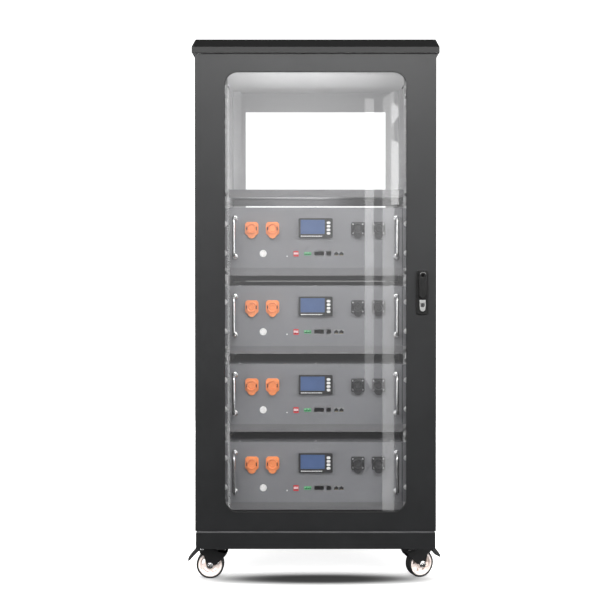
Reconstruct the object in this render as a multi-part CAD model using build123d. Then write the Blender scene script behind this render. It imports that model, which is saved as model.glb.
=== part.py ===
from build123d import *
import os

# A four-module battery cabinet: a 19-inch rack on casters with a framed glass door.
# Millimetres, +Z up, door towards -Y. Origin on the floor under the middle of the outline.

# Cabinet shell
WIDTH = 600
DEPTH = 600
FRONT = -295
BACK = FRONT + DEPTH
HALF_W = WIDTH / 2
CASTER_HEIGHT = 92
PLINTH_HEIGHT = 40
PLINTH_INSET = 1.5
PLINTH_TOP = CASTER_HEIGHT + PLINTH_HEIGHT
FRAME_TOP = 1326
COVER_OVERHANG = 7
COVER_LIP = 14
COVER_BEVEL = 20
COVER_BEVEL_INSET = 9
COVER_WALL = 3
SHEET = 2
FRAME_SHEET = 3
POST_DEPTH = 30
FRONT_HOLE = (552, 176, 1286)
REAR_HOLE = (430, 190, 1264)
PANEL_GAP = 2
PANEL_FLANGE = 12
CABLE_ENTRY = (320, 90)
CABLE_ENTRY_Y = 225
CORNER_PLATE = 130
CORNER_PLATE_THICK = 4
FOOT_HOLE_R = 5.1
FOOT_NUT_R = 10
FOOT_NUT_HEIGHT = 12
FOOT_INSET = 16

# Door
DOOR_DEPTH = 20
DOOR_BOTTOM = 137
DOOR_TOP = 1324
DOOR_MIDDLE = (DOOR_BOTTOM + DOOR_TOP) / 2
WINDOW_WIDTH = 454
WINDOW_BOTTOM = 184
WINDOW_TOP = 1280
WINDOW_RADIUS = 34
WINDOW_MIDDLE = (WINDOW_BOTTOM + WINDOW_TOP) / 2
WINDOW_HEIGHT = WINDOW_TOP - WINDOW_BOTTOM
GLASS_LAP = 13
GLASS_THICK = 5
GASKET_THICK = 1
GASKET_SHOW = 1.5
DOOR_FLANGE = 12
HINGE_X = -290
HINGE_Y = FRONT + 10
HINGE_PIN_R = 4
HINGE_FIT = 0.05
HINGE_BLOCK = 16
HINGE_BLOCK_HEIGHT = 26
HINGE_PIN_LENGTH = 21
DOOR_TO_FRAME = 6

# Swing handle on the door
HANDLE_X = 265
PLATE_SIZE = (31, 110)
PLATE_THICK = 5
PLATE_MIDDLE = 732
HUB_Z = 768
HUB_SHAFT_R = 6
HUB_DISC_R = 9.5
LEVER_WIDTH = 18
LEVER_THICK = 11
LEVER_BOTTOM = 717
LEVER_PIVOT_Z = 778.5
LEVER_PIN_R = 2
LUG_WIDTH = 6
LOCK_Z = 700
LOCK_TOP = 714
LOCK_BOTTOM = 684
LOCK_HALF_W = 8.5
LOCK_PROUD = 6.5
PLUG_R = 5
CAM_LENGTH = 26
CAM_THICK = 3
CAM_FRONT = FRONT + 31

# Rack rails and shelves
EAR_PLANE = FRONT + 77
RAIL_SHEET = 2
RAIL_INNER = 225
RAIL_OUTER = 250
RAIL_DEPTH = 36
REAR_RAIL_Y = 242
RAIL_HOLE = 9.5
RAIL_HOLE_X = 232.55
RAIL_HOLE_PITCH = 25
RAIL_HOLE_START = 154.5
RAIL_HOLES = 46
BEAM_INNER = 260
BEAM_OUTER = 285
BEAM_HEIGHT = 25
BEAM_LOW = 140
BEAM_HIGH = 1295
MODULE_PITCH = 200
FIRST_MODULE = 192
MODULES = 4
SHELF_LIP = 20
SHELF_REAR_FLANGE = 45.5
SHELF_FRONT = FRONT + 73
SHELF_BACK = 236

# Battery module
MODULE_WIDTH = 442
MODULE_HEIGHT = 154
MODULE_DEPTH = 450
FASCIA_THICK = 3
FASCIA_FRONT = EAR_PLANE - 2 - FASCIA_THICK
CASE_FRONT = FASCIA_FRONT + FASCIA_THICK
CASE_SHEET = 1.5
EAR_REACH = 241.3
EAR_SCREW_HEIGHTS = (37.5, 112.5)
HANDLE_FOOT_X = 206.5
HANDLE_FEET = (28, 125.5)
HANDLE_COLLAR = (6, 3)
HANDLE_BAR_R = 4
HANDLE_REACH = 42
HANDLE_BEND = 10
SOCKET_HEIGHT = 100
POSITIVE_X = (-163, -110)
NEGATIVE_X = (108, 161)
SOCKET_FLANGE = 34
SOCKET_BODY_R = 13
SOCKET_HOLE_R = 13.4
SOCKET_SCREWS = (24.4, 22.8)
DISPLAY_HEIGHT = 101.5
BEZEL_SIZE = (87, 50)
BEZEL_THICK = 8
SCREEN_X = -7.5
SCREEN_SIZE = (62.6, 37.2)
KEY_X = 33
KEY_HEIGHTS = (-13.5, -4.5, 4.5, 13.5)
KEY_SIZE = (9.6, 6.4)
KEY_PROUD = 1.2
KEY_GAP = 0.3
BUTTON_X = -134
BUTTON_HEIGHT = 36.5
BUTTON_R = 6.8
BUTTON_RING_R = 9
BUTTON_PROUD = 2.5
PORT_HEIGHT = 36
PORT_ROWS = ((9, 2), (33.5, 1), (59.5, 2))
PORT_PITCH = 13
PORT_MOUTH = (11.4, 8.4)
PORT_RECESS = 3.5
DIP_X = -50
TERMINAL_X = -20.5

# Casters
STEM_X = 241
STEM_Y = 226
CASTER_TRAIL = 28
WHEEL_R = 35
RIM_R = 30.5
TYRE_WIDTH = 24
RIM_WIDTH = 21
AXLE_R = 4
AXLE_FIT = 0.05
LEG_INNER = 14.5
LEG_THICK = 3
FORK_TOP = 83.5
FORK_CROWN = 8.5
FORK_CROWN_R = 22
KINGPIN_R = 5
RACE_R = 23
CASTER_PLATE = 76
CASTER_BOLTS = 58
LEG_OUTLINE = ((-20, 83), (54, 83), (54, 69), (37, 33), (19, 33), (-14, 62))
PEDAL_PIVOT = (48, 76)
PEDAL_PIN_R = 2.5
PEDAL_HUB = 13.8
PEDAL_OUTLINE = ((49, 80.5), (62, 77), (73, 65), (84, 51), (84, 44), (80, 46), (69, 58), (58, 69), (49, 72))
PEDAL_SHOE = (46.9, 68.4)
FRONT_RIGHT_YAW = 24
CASTERS = {
    "front_left": (-STEM_X, -STEM_Y, 180),
    "front_right": (STEM_X, -STEM_Y, FRONT_RIGHT_YAW),
    "rear_left": (-STEM_X, STEM_Y, 160),
    "rear_right": (STEM_X, STEM_Y, 15),
}


def block(x0, x1, y0, y1, z0, z1):
    """A box between two corners."""
    centre = ((x0 + x1) / 2, (y0 + y1) / 2, (z0 + z1) / 2)
    return Pos(*centre) * Box(abs(x1 - x0), abs(y1 - y0), abs(z1 - z0))


def plate_y(sketch, x, z, y0, y1):
    """A sketch in X and Z, centred on x and z, extruded from y0 to y1."""
    plane = Plane(origin=(x, y0, z), x_dir=(1, 0, 0), z_dir=(0, -1, 0))
    return extrude(plane * sketch, amount=y0 - y1)


def rod_y(x, z, radius, y0, y1):
    """A cylinder along Y."""
    return plate_y(Circle(radius), x, z, y0, y1)


def rod_z(x, y, radius, z0, z1):
    """A cylinder along Z."""
    return Pos(x, y, (z0 + z1) / 2) * Cylinder(radius, z1 - z0)


def rod_x(y, z, radius, x0, x1):
    """A cylinder along X."""
    return Pos((x0 + x1) / 2, y, z) * Rot(0, 90, 0) * Cylinder(radius, x1 - x0)


def ring_y(width, height, hole_width, hole_height, x, z, y0, y1, corner=0.0, hole_corner=0.0):
    """A flat rectangular ring in X and Z, from y0 to y1."""
    outer = RectangleRounded(width, height, corner) if corner else Rectangle(width, height)
    hole = Rectangle(hole_width, hole_height)
    if hole_corner:
        hole = RectangleRounded(hole_width, hole_height, hole_corner)
    return plate_y(outer - hole, x, z, y0, y1)


def module_bottoms():
    """Heights of the modules' undersides, lowest first."""
    return [FIRST_MODULE + i * MODULE_PITCH for i in range(MODULES)]


# Cabinet ------------------------------------------------------------------


def base_frame():
    """Plinth: folded skirt and floor with a cable entry, corner plates and foot nuts."""
    x, y0, y1 = HALF_W - PLINTH_INSET, FRONT + 1, BACK - 1
    wall = 2.5
    body = block(-x, x, y0, y1, CASTER_HEIGHT, PLINTH_TOP)
    body -= block(-x + wall, x - wall, y0 + wall, y1 - wall, CASTER_HEIGHT - 1, PLINTH_TOP - wall)
    entry_x, entry_y = CABLE_ENTRY
    low, high = CABLE_ENTRY_Y - entry_y / 2, CABLE_ENTRY_Y + entry_y / 2
    body -= block(-entry_x / 2, entry_x / 2, low, high, PLINTH_TOP - 2 * wall, PLINTH_TOP + 1)
    inner = x - wall
    for sx in (-1, 1):
        for near, into in ((y0 + wall, 1), (y1 - wall, -1)):
            far_x, far_y = sx * (inner - CORNER_PLATE), near + into * CORNER_PLATE
            top = CASTER_HEIGHT + CORNER_PLATE_THICK
            body += block(sx * inner, far_x, near, far_y, CASTER_HEIGHT, top)
            foot_x, foot_y = far_x + sx * FOOT_INSET, far_y - into * FOOT_INSET
            body += rod_z(foot_x, foot_y, FOOT_NUT_R, top, top + FOOT_NUT_HEIGHT)
            body -= rod_z(foot_x, foot_y, FOOT_HOLE_R, CASTER_HEIGHT - 1, top + FOOT_NUT_HEIGHT + 1)
    return body


def front_frame():
    """Door frame of the cabinet: a flat ring with returned edges."""
    y = FRONT + DOOR_DEPTH + DOOR_TO_FRAME
    return framed_ring(y, y + FRAME_SHEET, y + POST_DEPTH, *FRONT_HOLE)


def rear_frame():
    """Open back: wide flat stiles and rails with returned edges."""
    return framed_ring(BACK - FRAME_SHEET, BACK, BACK - POST_DEPTH, *REAR_HOLE)


def framed_ring(y0, y1, return_y, hole_width, hole_low, hole_high):
    """A flat ring from y0 to y1 with its outer edges returned as far as return_y."""
    middle, height = (PLINTH_TOP + FRAME_TOP) / 2, FRAME_TOP - PLINTH_TOP
    near, far = min(y0, return_y), max(y1, return_y)
    ring = ring_y(WIDTH, height, WIDTH - 2 * SHEET, height - 2 * SHEET, 0, middle, near, far)
    face = block(-HALF_W, HALF_W, y0, y1, PLINTH_TOP, FRAME_TOP)
    half = hole_width / 2
    return ring + face - block(-half, half, y0 - 1, y1 + 1, hole_low, hole_high)


def depth_beams():
    """Four square beams that join the front and rear frames."""
    y0 = FRONT + DOOR_DEPTH + DOOR_TO_FRAME + FRAME_SHEET
    y1 = BACK - FRAME_SHEET
    beams = []
    for z in (BEAM_LOW, BEAM_HIGH):
        for a, b in ((-BEAM_OUTER, -BEAM_INNER), (BEAM_INNER, BEAM_OUTER)):
            beam = block(a, b, y0, y1, z, z + BEAM_HEIGHT)
            wall = SHEET
            beams.append(beam - block(a + wall, b - wall, y0 - 1, y1 + 1, z + wall, z + BEAM_HEIGHT - wall))
    return Compound(children=beams)


def side_panel(side):
    """A flanged sheet between the front and rear posts; side is -1 for left, 1 for right."""
    y0 = FRONT + DOOR_DEPTH + DOOR_TO_FRAME + POST_DEPTH + PANEL_GAP
    y1 = BACK - POST_DEPTH - PANEL_GAP
    z0, z1 = PLINTH_TOP + PANEL_GAP, FRAME_TOP - PANEL_GAP
    panel = block(side * HALF_W, side * (HALF_W - SHEET - PANEL_FLANGE), y0, y1, z0, z1)
    inner = block(
        side * (HALF_W - SHEET), side * (HALF_W - SHEET - PANEL_FLANGE - 1),
        y0 + SHEET, y1 - SHEET, z0 + SHEET, z1 - SHEET,
    )
    return panel - inner


def top_cover():
    """Overhanging lid: an upright lip, a bevel and a flat top, hollow below."""
    x, y0, y1 = HALF_W + COVER_OVERHANG, FRONT - COVER_OVERHANG, BACK + COVER_OVERHANG
    middle = (y0 + y1) / 2
    width, depth = 2 * x, y1 - y0
    shell = cover_shape(width, depth, middle, FRAME_TOP, COVER_LIP, COVER_BEVEL)
    wall = COVER_WALL
    hollow = cover_shape(
        width - 2 * wall, depth - 2 * wall, middle, FRAME_TOP - 1, COVER_LIP, COVER_BEVEL - wall + 1
    )
    seat = block(-x + wall, x - wall, y0 + wall, y1 - wall, FRAME_TOP, FRAME_TOP + SHEET)
    reach = HALF_W - 24
    seat -= block(-reach, reach, FRONT + 50, BACK - 24, FRAME_TOP - 1, FRAME_TOP + SHEET + 1)
    return shell - hollow + seat


def cover_shape(width, depth, middle, z, lip, bevel):
    """An upright rim under a four-sided bevel."""
    rim = Pos(0, middle, z + lip / 2) * Box(width, depth, lip)
    inset = COVER_BEVEL_INSET * bevel / COVER_BEVEL
    low = Plane((0, middle, z + lip)) * Rectangle(width, depth)
    high = Plane((0, middle, z + lip + bevel)) * Rectangle(width - 2 * inset, depth - 2 * inset)
    return rim + loft([low, high])


def mounting_rails():
    """Four stepped rails with square cage-nut holes, in pairs facing front and back."""
    rails = []
    for side in (-1, 1):
        rails.append(rail(side, EAR_PLANE, 1))
        rails.append(rail(side, REAR_RAIL_Y, -1))
    return Compound(children=rails)


def rail(side, face_y, into):
    """One rail: a holed flange, a web and an outer flange that meets the depth beams."""
    z0, z1 = BEAM_LOW, BEAM_HIGH + BEAM_HEIGHT
    t = RAIL_SHEET * into
    back = face_y + RAIL_DEPTH * into
    body = block(side * RAIL_INNER, side * RAIL_OUTER, face_y, face_y + t, z0, z1)
    body += block(side * (RAIL_OUTER - RAIL_SHEET), side * RAIL_OUTER, face_y, back, z0, z1)
    body += block(side * (RAIL_OUTER - RAIL_SHEET), side * BEAM_INNER, back - t, back, z0, z1)
    middle = RAIL_HOLE_START + (RAIL_HOLES - 1) * RAIL_HOLE_PITCH / 2
    holes = GridLocations(1, RAIL_HOLE_PITCH, 1, RAIL_HOLES) * Rectangle(RAIL_HOLE, RAIL_HOLE)
    return body - plate_y(Sketch() + holes, side * RAIL_HOLE_X, middle, face_y - 3, face_y + 3)


def shelf(top, rear_flange):
    """A tray fixed between the rails' webs, with a front lip that shows between them."""
    side_x, lip_x = RAIL_OUTER - RAIL_SHEET, RAIL_INNER - 1
    step = EAR_PLANE + RAIL_SHEET + 1
    t = SHEET
    body = block(-lip_x, lip_x, SHELF_FRONT, step, top - t, top)
    body += block(-side_x, side_x, step, SHELF_BACK, top - t, top)
    body += block(-lip_x, lip_x, SHELF_FRONT, SHELF_FRONT + t, top - SHELF_LIP, top)
    body += block(-side_x, side_x, SHELF_BACK - t, SHELF_BACK, top - rear_flange, top)
    for side in (-1, 1):
        body += block(side * side_x, side * (side_x - t), step, SHELF_BACK, top - SHELF_LIP, top)
    slots = GridLocations(80, 90, 5, 4) * SlotOverall(60, 8)
    return body - extrude(Plane((0, 10, top + 1)) * (Sketch() + slots), amount=-4)


def shelves():
    """A shelf under each module and an empty one above the top module."""
    tops = module_bottoms()
    made = [shelf(top, SHELF_REAR_FLANGE) for top in tops]
    made.append(shelf(tops[-1] + MODULE_PITCH, SHELF_LIP))
    return Compound(children=made)


def rack_screws():
    """Pan-head screws that hold the module ears to the front rails."""
    screws = []
    for bottom in module_bottoms():
        for height in EAR_SCREW_HEIGHTS:
            for side in (-1, 1):
                x, z = side * RAIL_HOLE_X, bottom + height
                ear_front = CASE_FRONT
                head = rod_y(x, z, 5.2, ear_front - 3.6, ear_front)
                screws.append(head + rod_y(x, z, 2.9, ear_front, EAR_PLANE + 8))
    return Compound(children=screws)


def hinge_pins():
    """Two upright pins, each with a thrust collar, under and over the door's left edge."""
    low = rod_z(HINGE_X, HINGE_Y, 7, PLINTH_TOP, DOOR_BOTTOM - 0.4)
    low += rod_z(HINGE_X, HINGE_Y, HINGE_PIN_R, PLINTH_TOP, DOOR_BOTTOM + HINGE_PIN_LENGTH)
    high = rod_z(HINGE_X, HINGE_Y, 7, DOOR_TOP + 0.4, FRAME_TOP)
    high += rod_z(HINGE_X, HINGE_Y, HINGE_PIN_R, DOOR_TOP - HINGE_PIN_LENGTH, FRAME_TOP)
    return Compound(children=[low, high])


# Door ---------------------------------------------------------------------


def door_frame():
    """A folded pan with a round-cornered window, corner hinge blocks and handle holes."""
    back = FRONT + DOOR_DEPTH
    height = DOOR_TOP - DOOR_BOTTOM
    t = SHEET
    body = block(-HALF_W, HALF_W, FRONT, back, DOOR_BOTTOM, DOOR_TOP)
    body -= block(
        -HALF_W + t, HALF_W - t, FRONT + t, back - t, DOOR_BOTTOM + t, DOOR_TOP - t
    )
    lip_w, lip_h = WIDTH - 2 * (t + DOOR_FLANGE), height - 2 * (t + DOOR_FLANGE)
    body -= plate_y(Rectangle(lip_w, lip_h), 0, DOOR_MIDDLE, back - t - 1, back + 1)
    window = RectangleRounded(WINDOW_WIDTH, WINDOW_HEIGHT, WINDOW_RADIUS)
    body -= plate_y(window, 0, WINDOW_MIDDLE, FRONT - 1, FRONT + t + 1)
    for z0, z1 in ((DOOR_BOTTOM, DOOR_BOTTOM + HINGE_BLOCK_HEIGHT), (DOOR_TOP - HINGE_BLOCK_HEIGHT, DOOR_TOP)):
        half = HINGE_BLOCK / 2
        body += block(HINGE_X - half - 1, HINGE_X + half, HINGE_Y - half - 1, HINGE_Y + half + 1, z0, z1)
    reach = HINGE_PIN_LENGTH + 1
    for z0, z1 in ((DOOR_BOTTOM - 1, DOOR_BOTTOM + reach), (DOOR_TOP - reach, DOOR_TOP + 1)):
        body -= rod_z(HINGE_X, HINGE_Y, HINGE_PIN_R + HINGE_FIT, z0, z1)
    body -= rod_y(HANDLE_X, HUB_Z, HUB_SHAFT_R + 0.3, FRONT - 1, FRONT + t + 1)
    return body - rod_y(HANDLE_X, LOCK_Z, PLUG_R + 0.6, FRONT - 1, FRONT + t + 1)


def window_gasket():
    """Rubber strip between the door sheet and the glass, showing a little at the edge."""
    y = FRONT + SHEET
    return ring_y(
        WINDOW_WIDTH + 2 * GLASS_LAP, WINDOW_HEIGHT + 2 * GLASS_LAP,
        WINDOW_WIDTH - 2 * GASKET_SHOW, WINDOW_HEIGHT - 2 * GASKET_SHOW,
        0, WINDOW_MIDDLE, y, y + GASKET_THICK,
        corner=6, hole_corner=WINDOW_RADIUS - GASKET_SHOW,
    )


def door_glass():
    """Toughened glass pane behind the window."""
    y = FRONT + SHEET + GASKET_THICK
    pane = RectangleRounded(WINDOW_WIDTH + 2 * GLASS_LAP, WINDOW_HEIGHT + 2 * GLASS_LAP, 6)
    return plate_y(pane, 0, WINDOW_MIDDLE, y, y + GLASS_THICK)


def glass_clamps():
    """Angle clips that press the glass onto the gasket."""
    edge_x = WINDOW_WIDTH / 2 + GLASS_LAP + 1
    edge_z = WINDOW_HEIGHT / 2 + GLASS_LAP + 1
    glass_back = FRONT + SHEET + GASKET_THICK + GLASS_THICK
    clips = []
    for side in (-1, 1):
        for k in range(5):
            z = WINDOW_MIDDLE + (k - 2) * 250
            clips.append(clip(glass_back).moved(Pos(side * edge_x, 0, z) * Rot(0, 90 * (1 - side), 0)))
        for x in (-150, 0, 150):
            clips.append(clip(glass_back).moved(Pos(x, 0, WINDOW_MIDDLE + side * edge_z) * Rot(0, -90 * side, 0)))
    return Compound(children=clips)


def clip(glass_back):
    """One clip at the origin's edge, its leg towards +X and its lip over the glass at -X."""
    leg = block(0, 3, FRONT + SHEET, glass_back + 2, -12, 12)
    return leg + block(-11, 3, glass_back, glass_back + 2, -12, 12)


def handle_plate():
    """Flat body of the swing handle, with holes for the hub and the lock."""
    shape = RectangleRounded(*PLATE_SIZE, 4)
    plate = plate_y(shape, HANDLE_X, PLATE_MIDDLE, FRONT - PLATE_THICK, FRONT)
    plate -= rod_y(HANDLE_X, HUB_Z, HUB_SHAFT_R + 0.05, FRONT - PLATE_THICK - 1, FRONT + 1)
    return plate - rod_y(HANDLE_X, LOCK_Z, PLUG_R + 0.6, FRONT - PLATE_THICK - 1, FRONT + 1)


def lock_shield():
    """Shield-shaped lock housing below the lever, bored for the key plug."""
    y1 = FRONT - PLATE_THICK
    y0 = y1 - LOCK_PROUD
    low = LOCK_BOTTOM + LOCK_HALF_W
    body = block(HANDLE_X - LOCK_HALF_W, HANDLE_X + LOCK_HALF_W, y0, y1, low, LOCK_TOP)
    body += rod_y(HANDLE_X, low, LOCK_HALF_W, y0, y1)
    return body - rod_y(HANDLE_X, LOCK_Z, PLUG_R + 0.05, y0 - 1, y1 + 1)


def lock_plug():
    """Turning key plug with its slot."""
    face = FRONT - PLATE_THICK - LOCK_PROUD - 0.6
    plug = rod_y(HANDLE_X, LOCK_Z, PLUG_R, face, FRONT + 6)
    slot = block(HANDLE_X - 0.8, HANDLE_X + 0.8, face - 1, face + 3, LOCK_Z - 3, LOCK_Z + 3)
    return plug - slot


def handle_hub():
    """Turning shaft with a lug and cross pin that carry the lever."""
    plate_front = FRONT - PLATE_THICK
    hub = rod_y(HANDLE_X, HUB_Z, HUB_SHAFT_R, plate_front - 0.3, CAM_FRONT + CAM_THICK + 2)
    hub += rod_y(HANDLE_X, HUB_Z, HUB_DISC_R, plate_front - 2.7, plate_front - 0.3)
    pivot_y = lever_pivot_y()
    half = LUG_WIDTH / 2
    x0, x1 = HANDLE_X - half, HANDLE_X + half
    hub += block(x0, x1, pivot_y, plate_front - 0.3, HUB_Z, LEVER_PIVOT_Z + half)
    hub -= block(x0 - 1, x1 + 1, pivot_y - 9, plate_front - 2.7, HUB_Z - 9, LEVER_PIVOT_Z - half)
    hub += rod_x(pivot_y, LEVER_PIVOT_Z, half, x0, x1)
    pin_half = LEVER_WIDTH / 2 - 1
    return hub + rod_x(pivot_y, LEVER_PIVOT_Z, LEVER_PIN_R, HANDLE_X - pin_half, HANDLE_X + pin_half)


def lever_pivot_y():
    """Depth of the lever's cross pin."""
    return FRONT - PLATE_THICK - 3 - LEVER_THICK / 2


def handle_lever():
    """Grip that lifts about the cross pin at its upper, rounded end."""
    pivot_y = lever_pivot_y()
    half, radius = LEVER_WIDTH / 2, LEVER_THICK / 2
    x0, x1 = HANDLE_X - half, HANDLE_X + half
    lever = block(x0, x1, pivot_y - radius, pivot_y + radius, LEVER_BOTTOM, LEVER_PIVOT_Z)
    lever += rod_x(pivot_y, LEVER_PIVOT_Z, radius, x0, x1)
    slot = LUG_WIDTH / 2 + 0.3
    s0, s1 = HANDLE_X - slot, HANDLE_X + slot
    lever -= block(s0, s1, pivot_y - slot, pivot_y + radius + 1, LEVER_PIVOT_Z - slot, LEVER_PIVOT_Z + 9)
    lever -= rod_x(pivot_y, LEVER_PIVOT_Z, slot, s0, s1)
    return lever - rod_x(pivot_y, LEVER_PIVOT_Z, LEVER_PIN_R + 0.05, x0 - 1, x1 + 1)


def latch_cam():
    """Cam on the hub's inner end: clear of the frame at rest, behind it when turned."""
    y0, y1 = CAM_FRONT, CAM_FRONT + CAM_THICK
    cam = block(HANDLE_X - 9, HANDLE_X + 9, y0, y1, HUB_Z, HUB_Z + CAM_LENGTH)
    cam += rod_y(HANDLE_X, HUB_Z, 9, y0, y1)
    return cam - rod_y(HANDLE_X, HUB_Z, HUB_SHAFT_R, y0 - 1, y1 + 1)


# Battery modules ----------------------------------------------------------


def module_case(bottom):
    """Open-topped chassis with folded ears, holes for the ear screws and no front."""
    half, t = MODULE_WIDTH / 2, CASE_SHEET
    top, back = bottom + MODULE_HEIGHT, CASE_FRONT + MODULE_DEPTH
    case = block(-half, half, CASE_FRONT, back, bottom, top - t)
    case -= block(-half + t, half - t, CASE_FRONT - 1, back - t, bottom + t, top + 1)
    for side in (-1, 1):
        ear = block(side * (half - t), side * EAR_REACH, CASE_FRONT, CASE_FRONT + 2, bottom, top - t)
        for height in EAR_SCREW_HEIGHTS:
            hole_z = bottom + height
            ear -= rod_y(side * RAIL_HOLE_X, hole_z, 3.3, CASE_FRONT - 1, CASE_FRONT + 3)
        case += ear
    return case


def module_lids():
    """Sheet lids that close the tops of the chassis."""
    half, t = MODULE_WIDTH / 2, CASE_SHEET
    back = CASE_FRONT + MODULE_DEPTH
    tops = [bottom + MODULE_HEIGHT for bottom in module_bottoms()]
    return Compound(children=[block(-half, half, CASE_FRONT, back, z - t, z) for z in tops])


def front_panels():
    """Front plates, pierced for everything that mounts through them."""
    return Compound(children=[front_panel(bottom) for bottom in module_bottoms()])


def front_panel(bottom):
    """One front plate."""
    y0, y1 = FASCIA_FRONT, CASE_FRONT
    shape = Rectangle(MODULE_WIDTH, MODULE_HEIGHT)
    panel = plate_y(shape, 0, bottom + MODULE_HEIGHT / 2, y0, y1)
    for x in POSITIVE_X + NEGATIVE_X:
        panel -= rod_y(x, bottom + SOCKET_HEIGHT, SOCKET_HOLE_R, y0 - 1, y1 + 1)
    width, height = BEZEL_SIZE
    window = Rectangle(width - 14, height - 10)
    panel -= plate_y(window, 0, bottom + DISPLAY_HEIGHT, y0 - 1, y1 + 1)
    panel -= rod_y(BUTTON_X, bottom + BUTTON_HEIGHT, BUTTON_R + 0.5, y0 - 1, y1 + 1)
    for x, count in PORT_ROWS:
        opening = Rectangle(count * PORT_PITCH + 0.4, 13.4)
        panel -= plate_y(opening, x, bottom + PORT_HEIGHT, y0 - 1, y1 + 1)
    panel -= plate_y(Rectangle(13.4, 14.4), DIP_X, bottom + PORT_HEIGHT, y0 - 1, y1 + 1)
    return panel - plate_y(Rectangle(18.4, 8.4), TERMINAL_X, bottom + PORT_HEIGHT, y0 - 1, y1 + 1)


def module_handles():
    """Bent-rod pull handles, two on each front plate."""
    made = []
    for bottom in module_bottoms():
        for side in (-1, 1):
            made.append(pull_handle(side * HANDLE_FOOT_X, bottom))
    return Compound(children=made)


def pull_handle(x, bottom):
    """One handle: two legs, a bar with rounded bends and a collar at each foot."""
    low, high = bottom + HANDLE_FEET[0], bottom + HANDLE_FEET[1]
    out = FASCIA_FRONT - HANDLE_REACH + HANDLE_BAR_R
    points = [(x, FASCIA_FRONT, low), (x, out, low), (x, out, high), (x, FASCIA_FRONT, high)]
    path = FilletPolyline(*points, radius=HANDLE_BEND)
    start = Plane(origin=path @ 0, z_dir=path % 0)
    handle = sweep(start * Circle(HANDLE_BAR_R), path=path)
    radius, thick = HANDLE_COLLAR
    for z in (low, high):
        handle += rod_y(x, z, radius, FASCIA_FRONT - thick, FASCIA_FRONT)
    return handle


def power_socket(x, z):
    """A panel socket: square flange, round body, latch tongue below and a rear barrel."""
    y1 = FASCIA_FRONT
    half = SOCKET_FLANGE / 2
    flange = plate_y(RectangleRounded(SOCKET_FLANGE, SOCKET_FLANGE, 2), x, z, y1 - 4, y1)
    body = flange + rod_y(x, z, SOCKET_BODY_R, y1 - 16, CASE_FRONT + 18)
    body += block(x - 9, x + 9, y1 - 12, y1, z - half - 4, z)
    return body + rod_y(x, z - half + 1, 9, y1 - 12, y1)


def power_sockets(columns):
    """The sockets of one polarity on every module."""
    rows = [bottom + SOCKET_HEIGHT for bottom in module_bottoms()]
    return Compound(children=[power_socket(x, z) for z in rows for x in columns])


def socket_screws():
    """Four small screws in the corners of each black socket's flange."""
    made = []
    across, up = SOCKET_SCREWS
    for bottom in module_bottoms():
        for x in NEGATIVE_X:
            for place in GridLocations(across, up, 2, 2):
                at = place.position
                px, pz = x + at.X, bottom + SOCKET_HEIGHT + at.Y
                made.append(rod_y(px, pz, 2, FASCIA_FRONT - 5.4, FASCIA_FRONT - 4))
    return Compound(children=made)


def display_units():
    """Display housings with a screen recess and four key openings."""
    made = []
    width, height = BEZEL_SIZE
    y0, y1 = FASCIA_FRONT - BEZEL_THICK, FASCIA_FRONT
    for bottom in module_bottoms():
        z = bottom + DISPLAY_HEIGHT
        unit = plate_y(RectangleRounded(width, height, 3), 0, z, y0, y1)
        unit -= plate_y(Rectangle(*SCREEN_SIZE), SCREEN_X, z + 3, y0 - 1, y0 + 3)
        for dz in KEY_HEIGHTS:
            hole = SlotOverall(KEY_SIZE[0] + 2 * KEY_GAP, KEY_SIZE[1] + 2 * KEY_GAP)
            unit -= plate_y(hole, KEY_X, z + dz, y0 - 1, y1 + 1)
        made.append(unit - plate_y(Rectangle(12, 38), KEY_X, z, y0 + 3.5, y1 + 1))
    return Compound(children=made)


def display_screens():
    """Screen panes set just below the housings' faces."""
    y = FASCIA_FRONT - BEZEL_THICK
    rows = [bottom + DISPLAY_HEIGHT + 3 for bottom in module_bottoms()]
    return Compound(children=[plate_y(Rectangle(*SCREEN_SIZE), SCREEN_X, z, y + 0.8, y + 3) for z in rows])


def keypad(bottom):
    """Four oval keys moulded on one carrier strip that slides inwards."""
    z = bottom + DISPLAY_HEIGHT
    y0 = FASCIA_FRONT - BEZEL_THICK
    strip_front = y0 + 3.8
    pad = plate_y(Rectangle(11, 37), KEY_X, z, strip_front, strip_front + 1.2)
    for dz in KEY_HEIGHTS:
        pad += plate_y(SlotOverall(*KEY_SIZE), KEY_X, z + dz, y0 - KEY_PROUD, strip_front)
    return pad


def power_button(bottom):
    """Round push cap and its stem."""
    z = bottom + BUTTON_HEIGHT
    cap = rod_y(BUTTON_X, z, BUTTON_R - 0.3, FASCIA_FRONT - BUTTON_PROUD, CASE_FRONT)
    return cap + rod_y(BUTTON_X, z, 4, CASE_FRONT, CASE_FRONT + 6)


def button_bezels():
    """Rings round the power buttons."""
    rows = [bottom + BUTTON_HEIGHT for bottom in module_bottoms()]
    shape = Circle(BUTTON_RING_R) - Circle(BUTTON_R)
    y1 = FASCIA_FRONT
    return Compound(children=[plate_y(shape, BUTTON_X, z, y1 - 1.5, y1) for z in rows])


def dip_switches():
    """Address switch blocks with four small sliders."""
    made = []
    y0, y1 = FASCIA_FRONT - 1, CASE_FRONT + 4
    for bottom in module_bottoms():
        z = bottom + PORT_HEIGHT
        unit = plate_y(Rectangle(13, 14), DIP_X, z, y0, y1)
        for k in range(4):
            unit += block(DIP_X - 5 + 3 * k, DIP_X - 4 + 3 * k, y0 - 1, y0, z - 1, z + 3)
        made.append(unit)
    return Compound(children=made)


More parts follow.
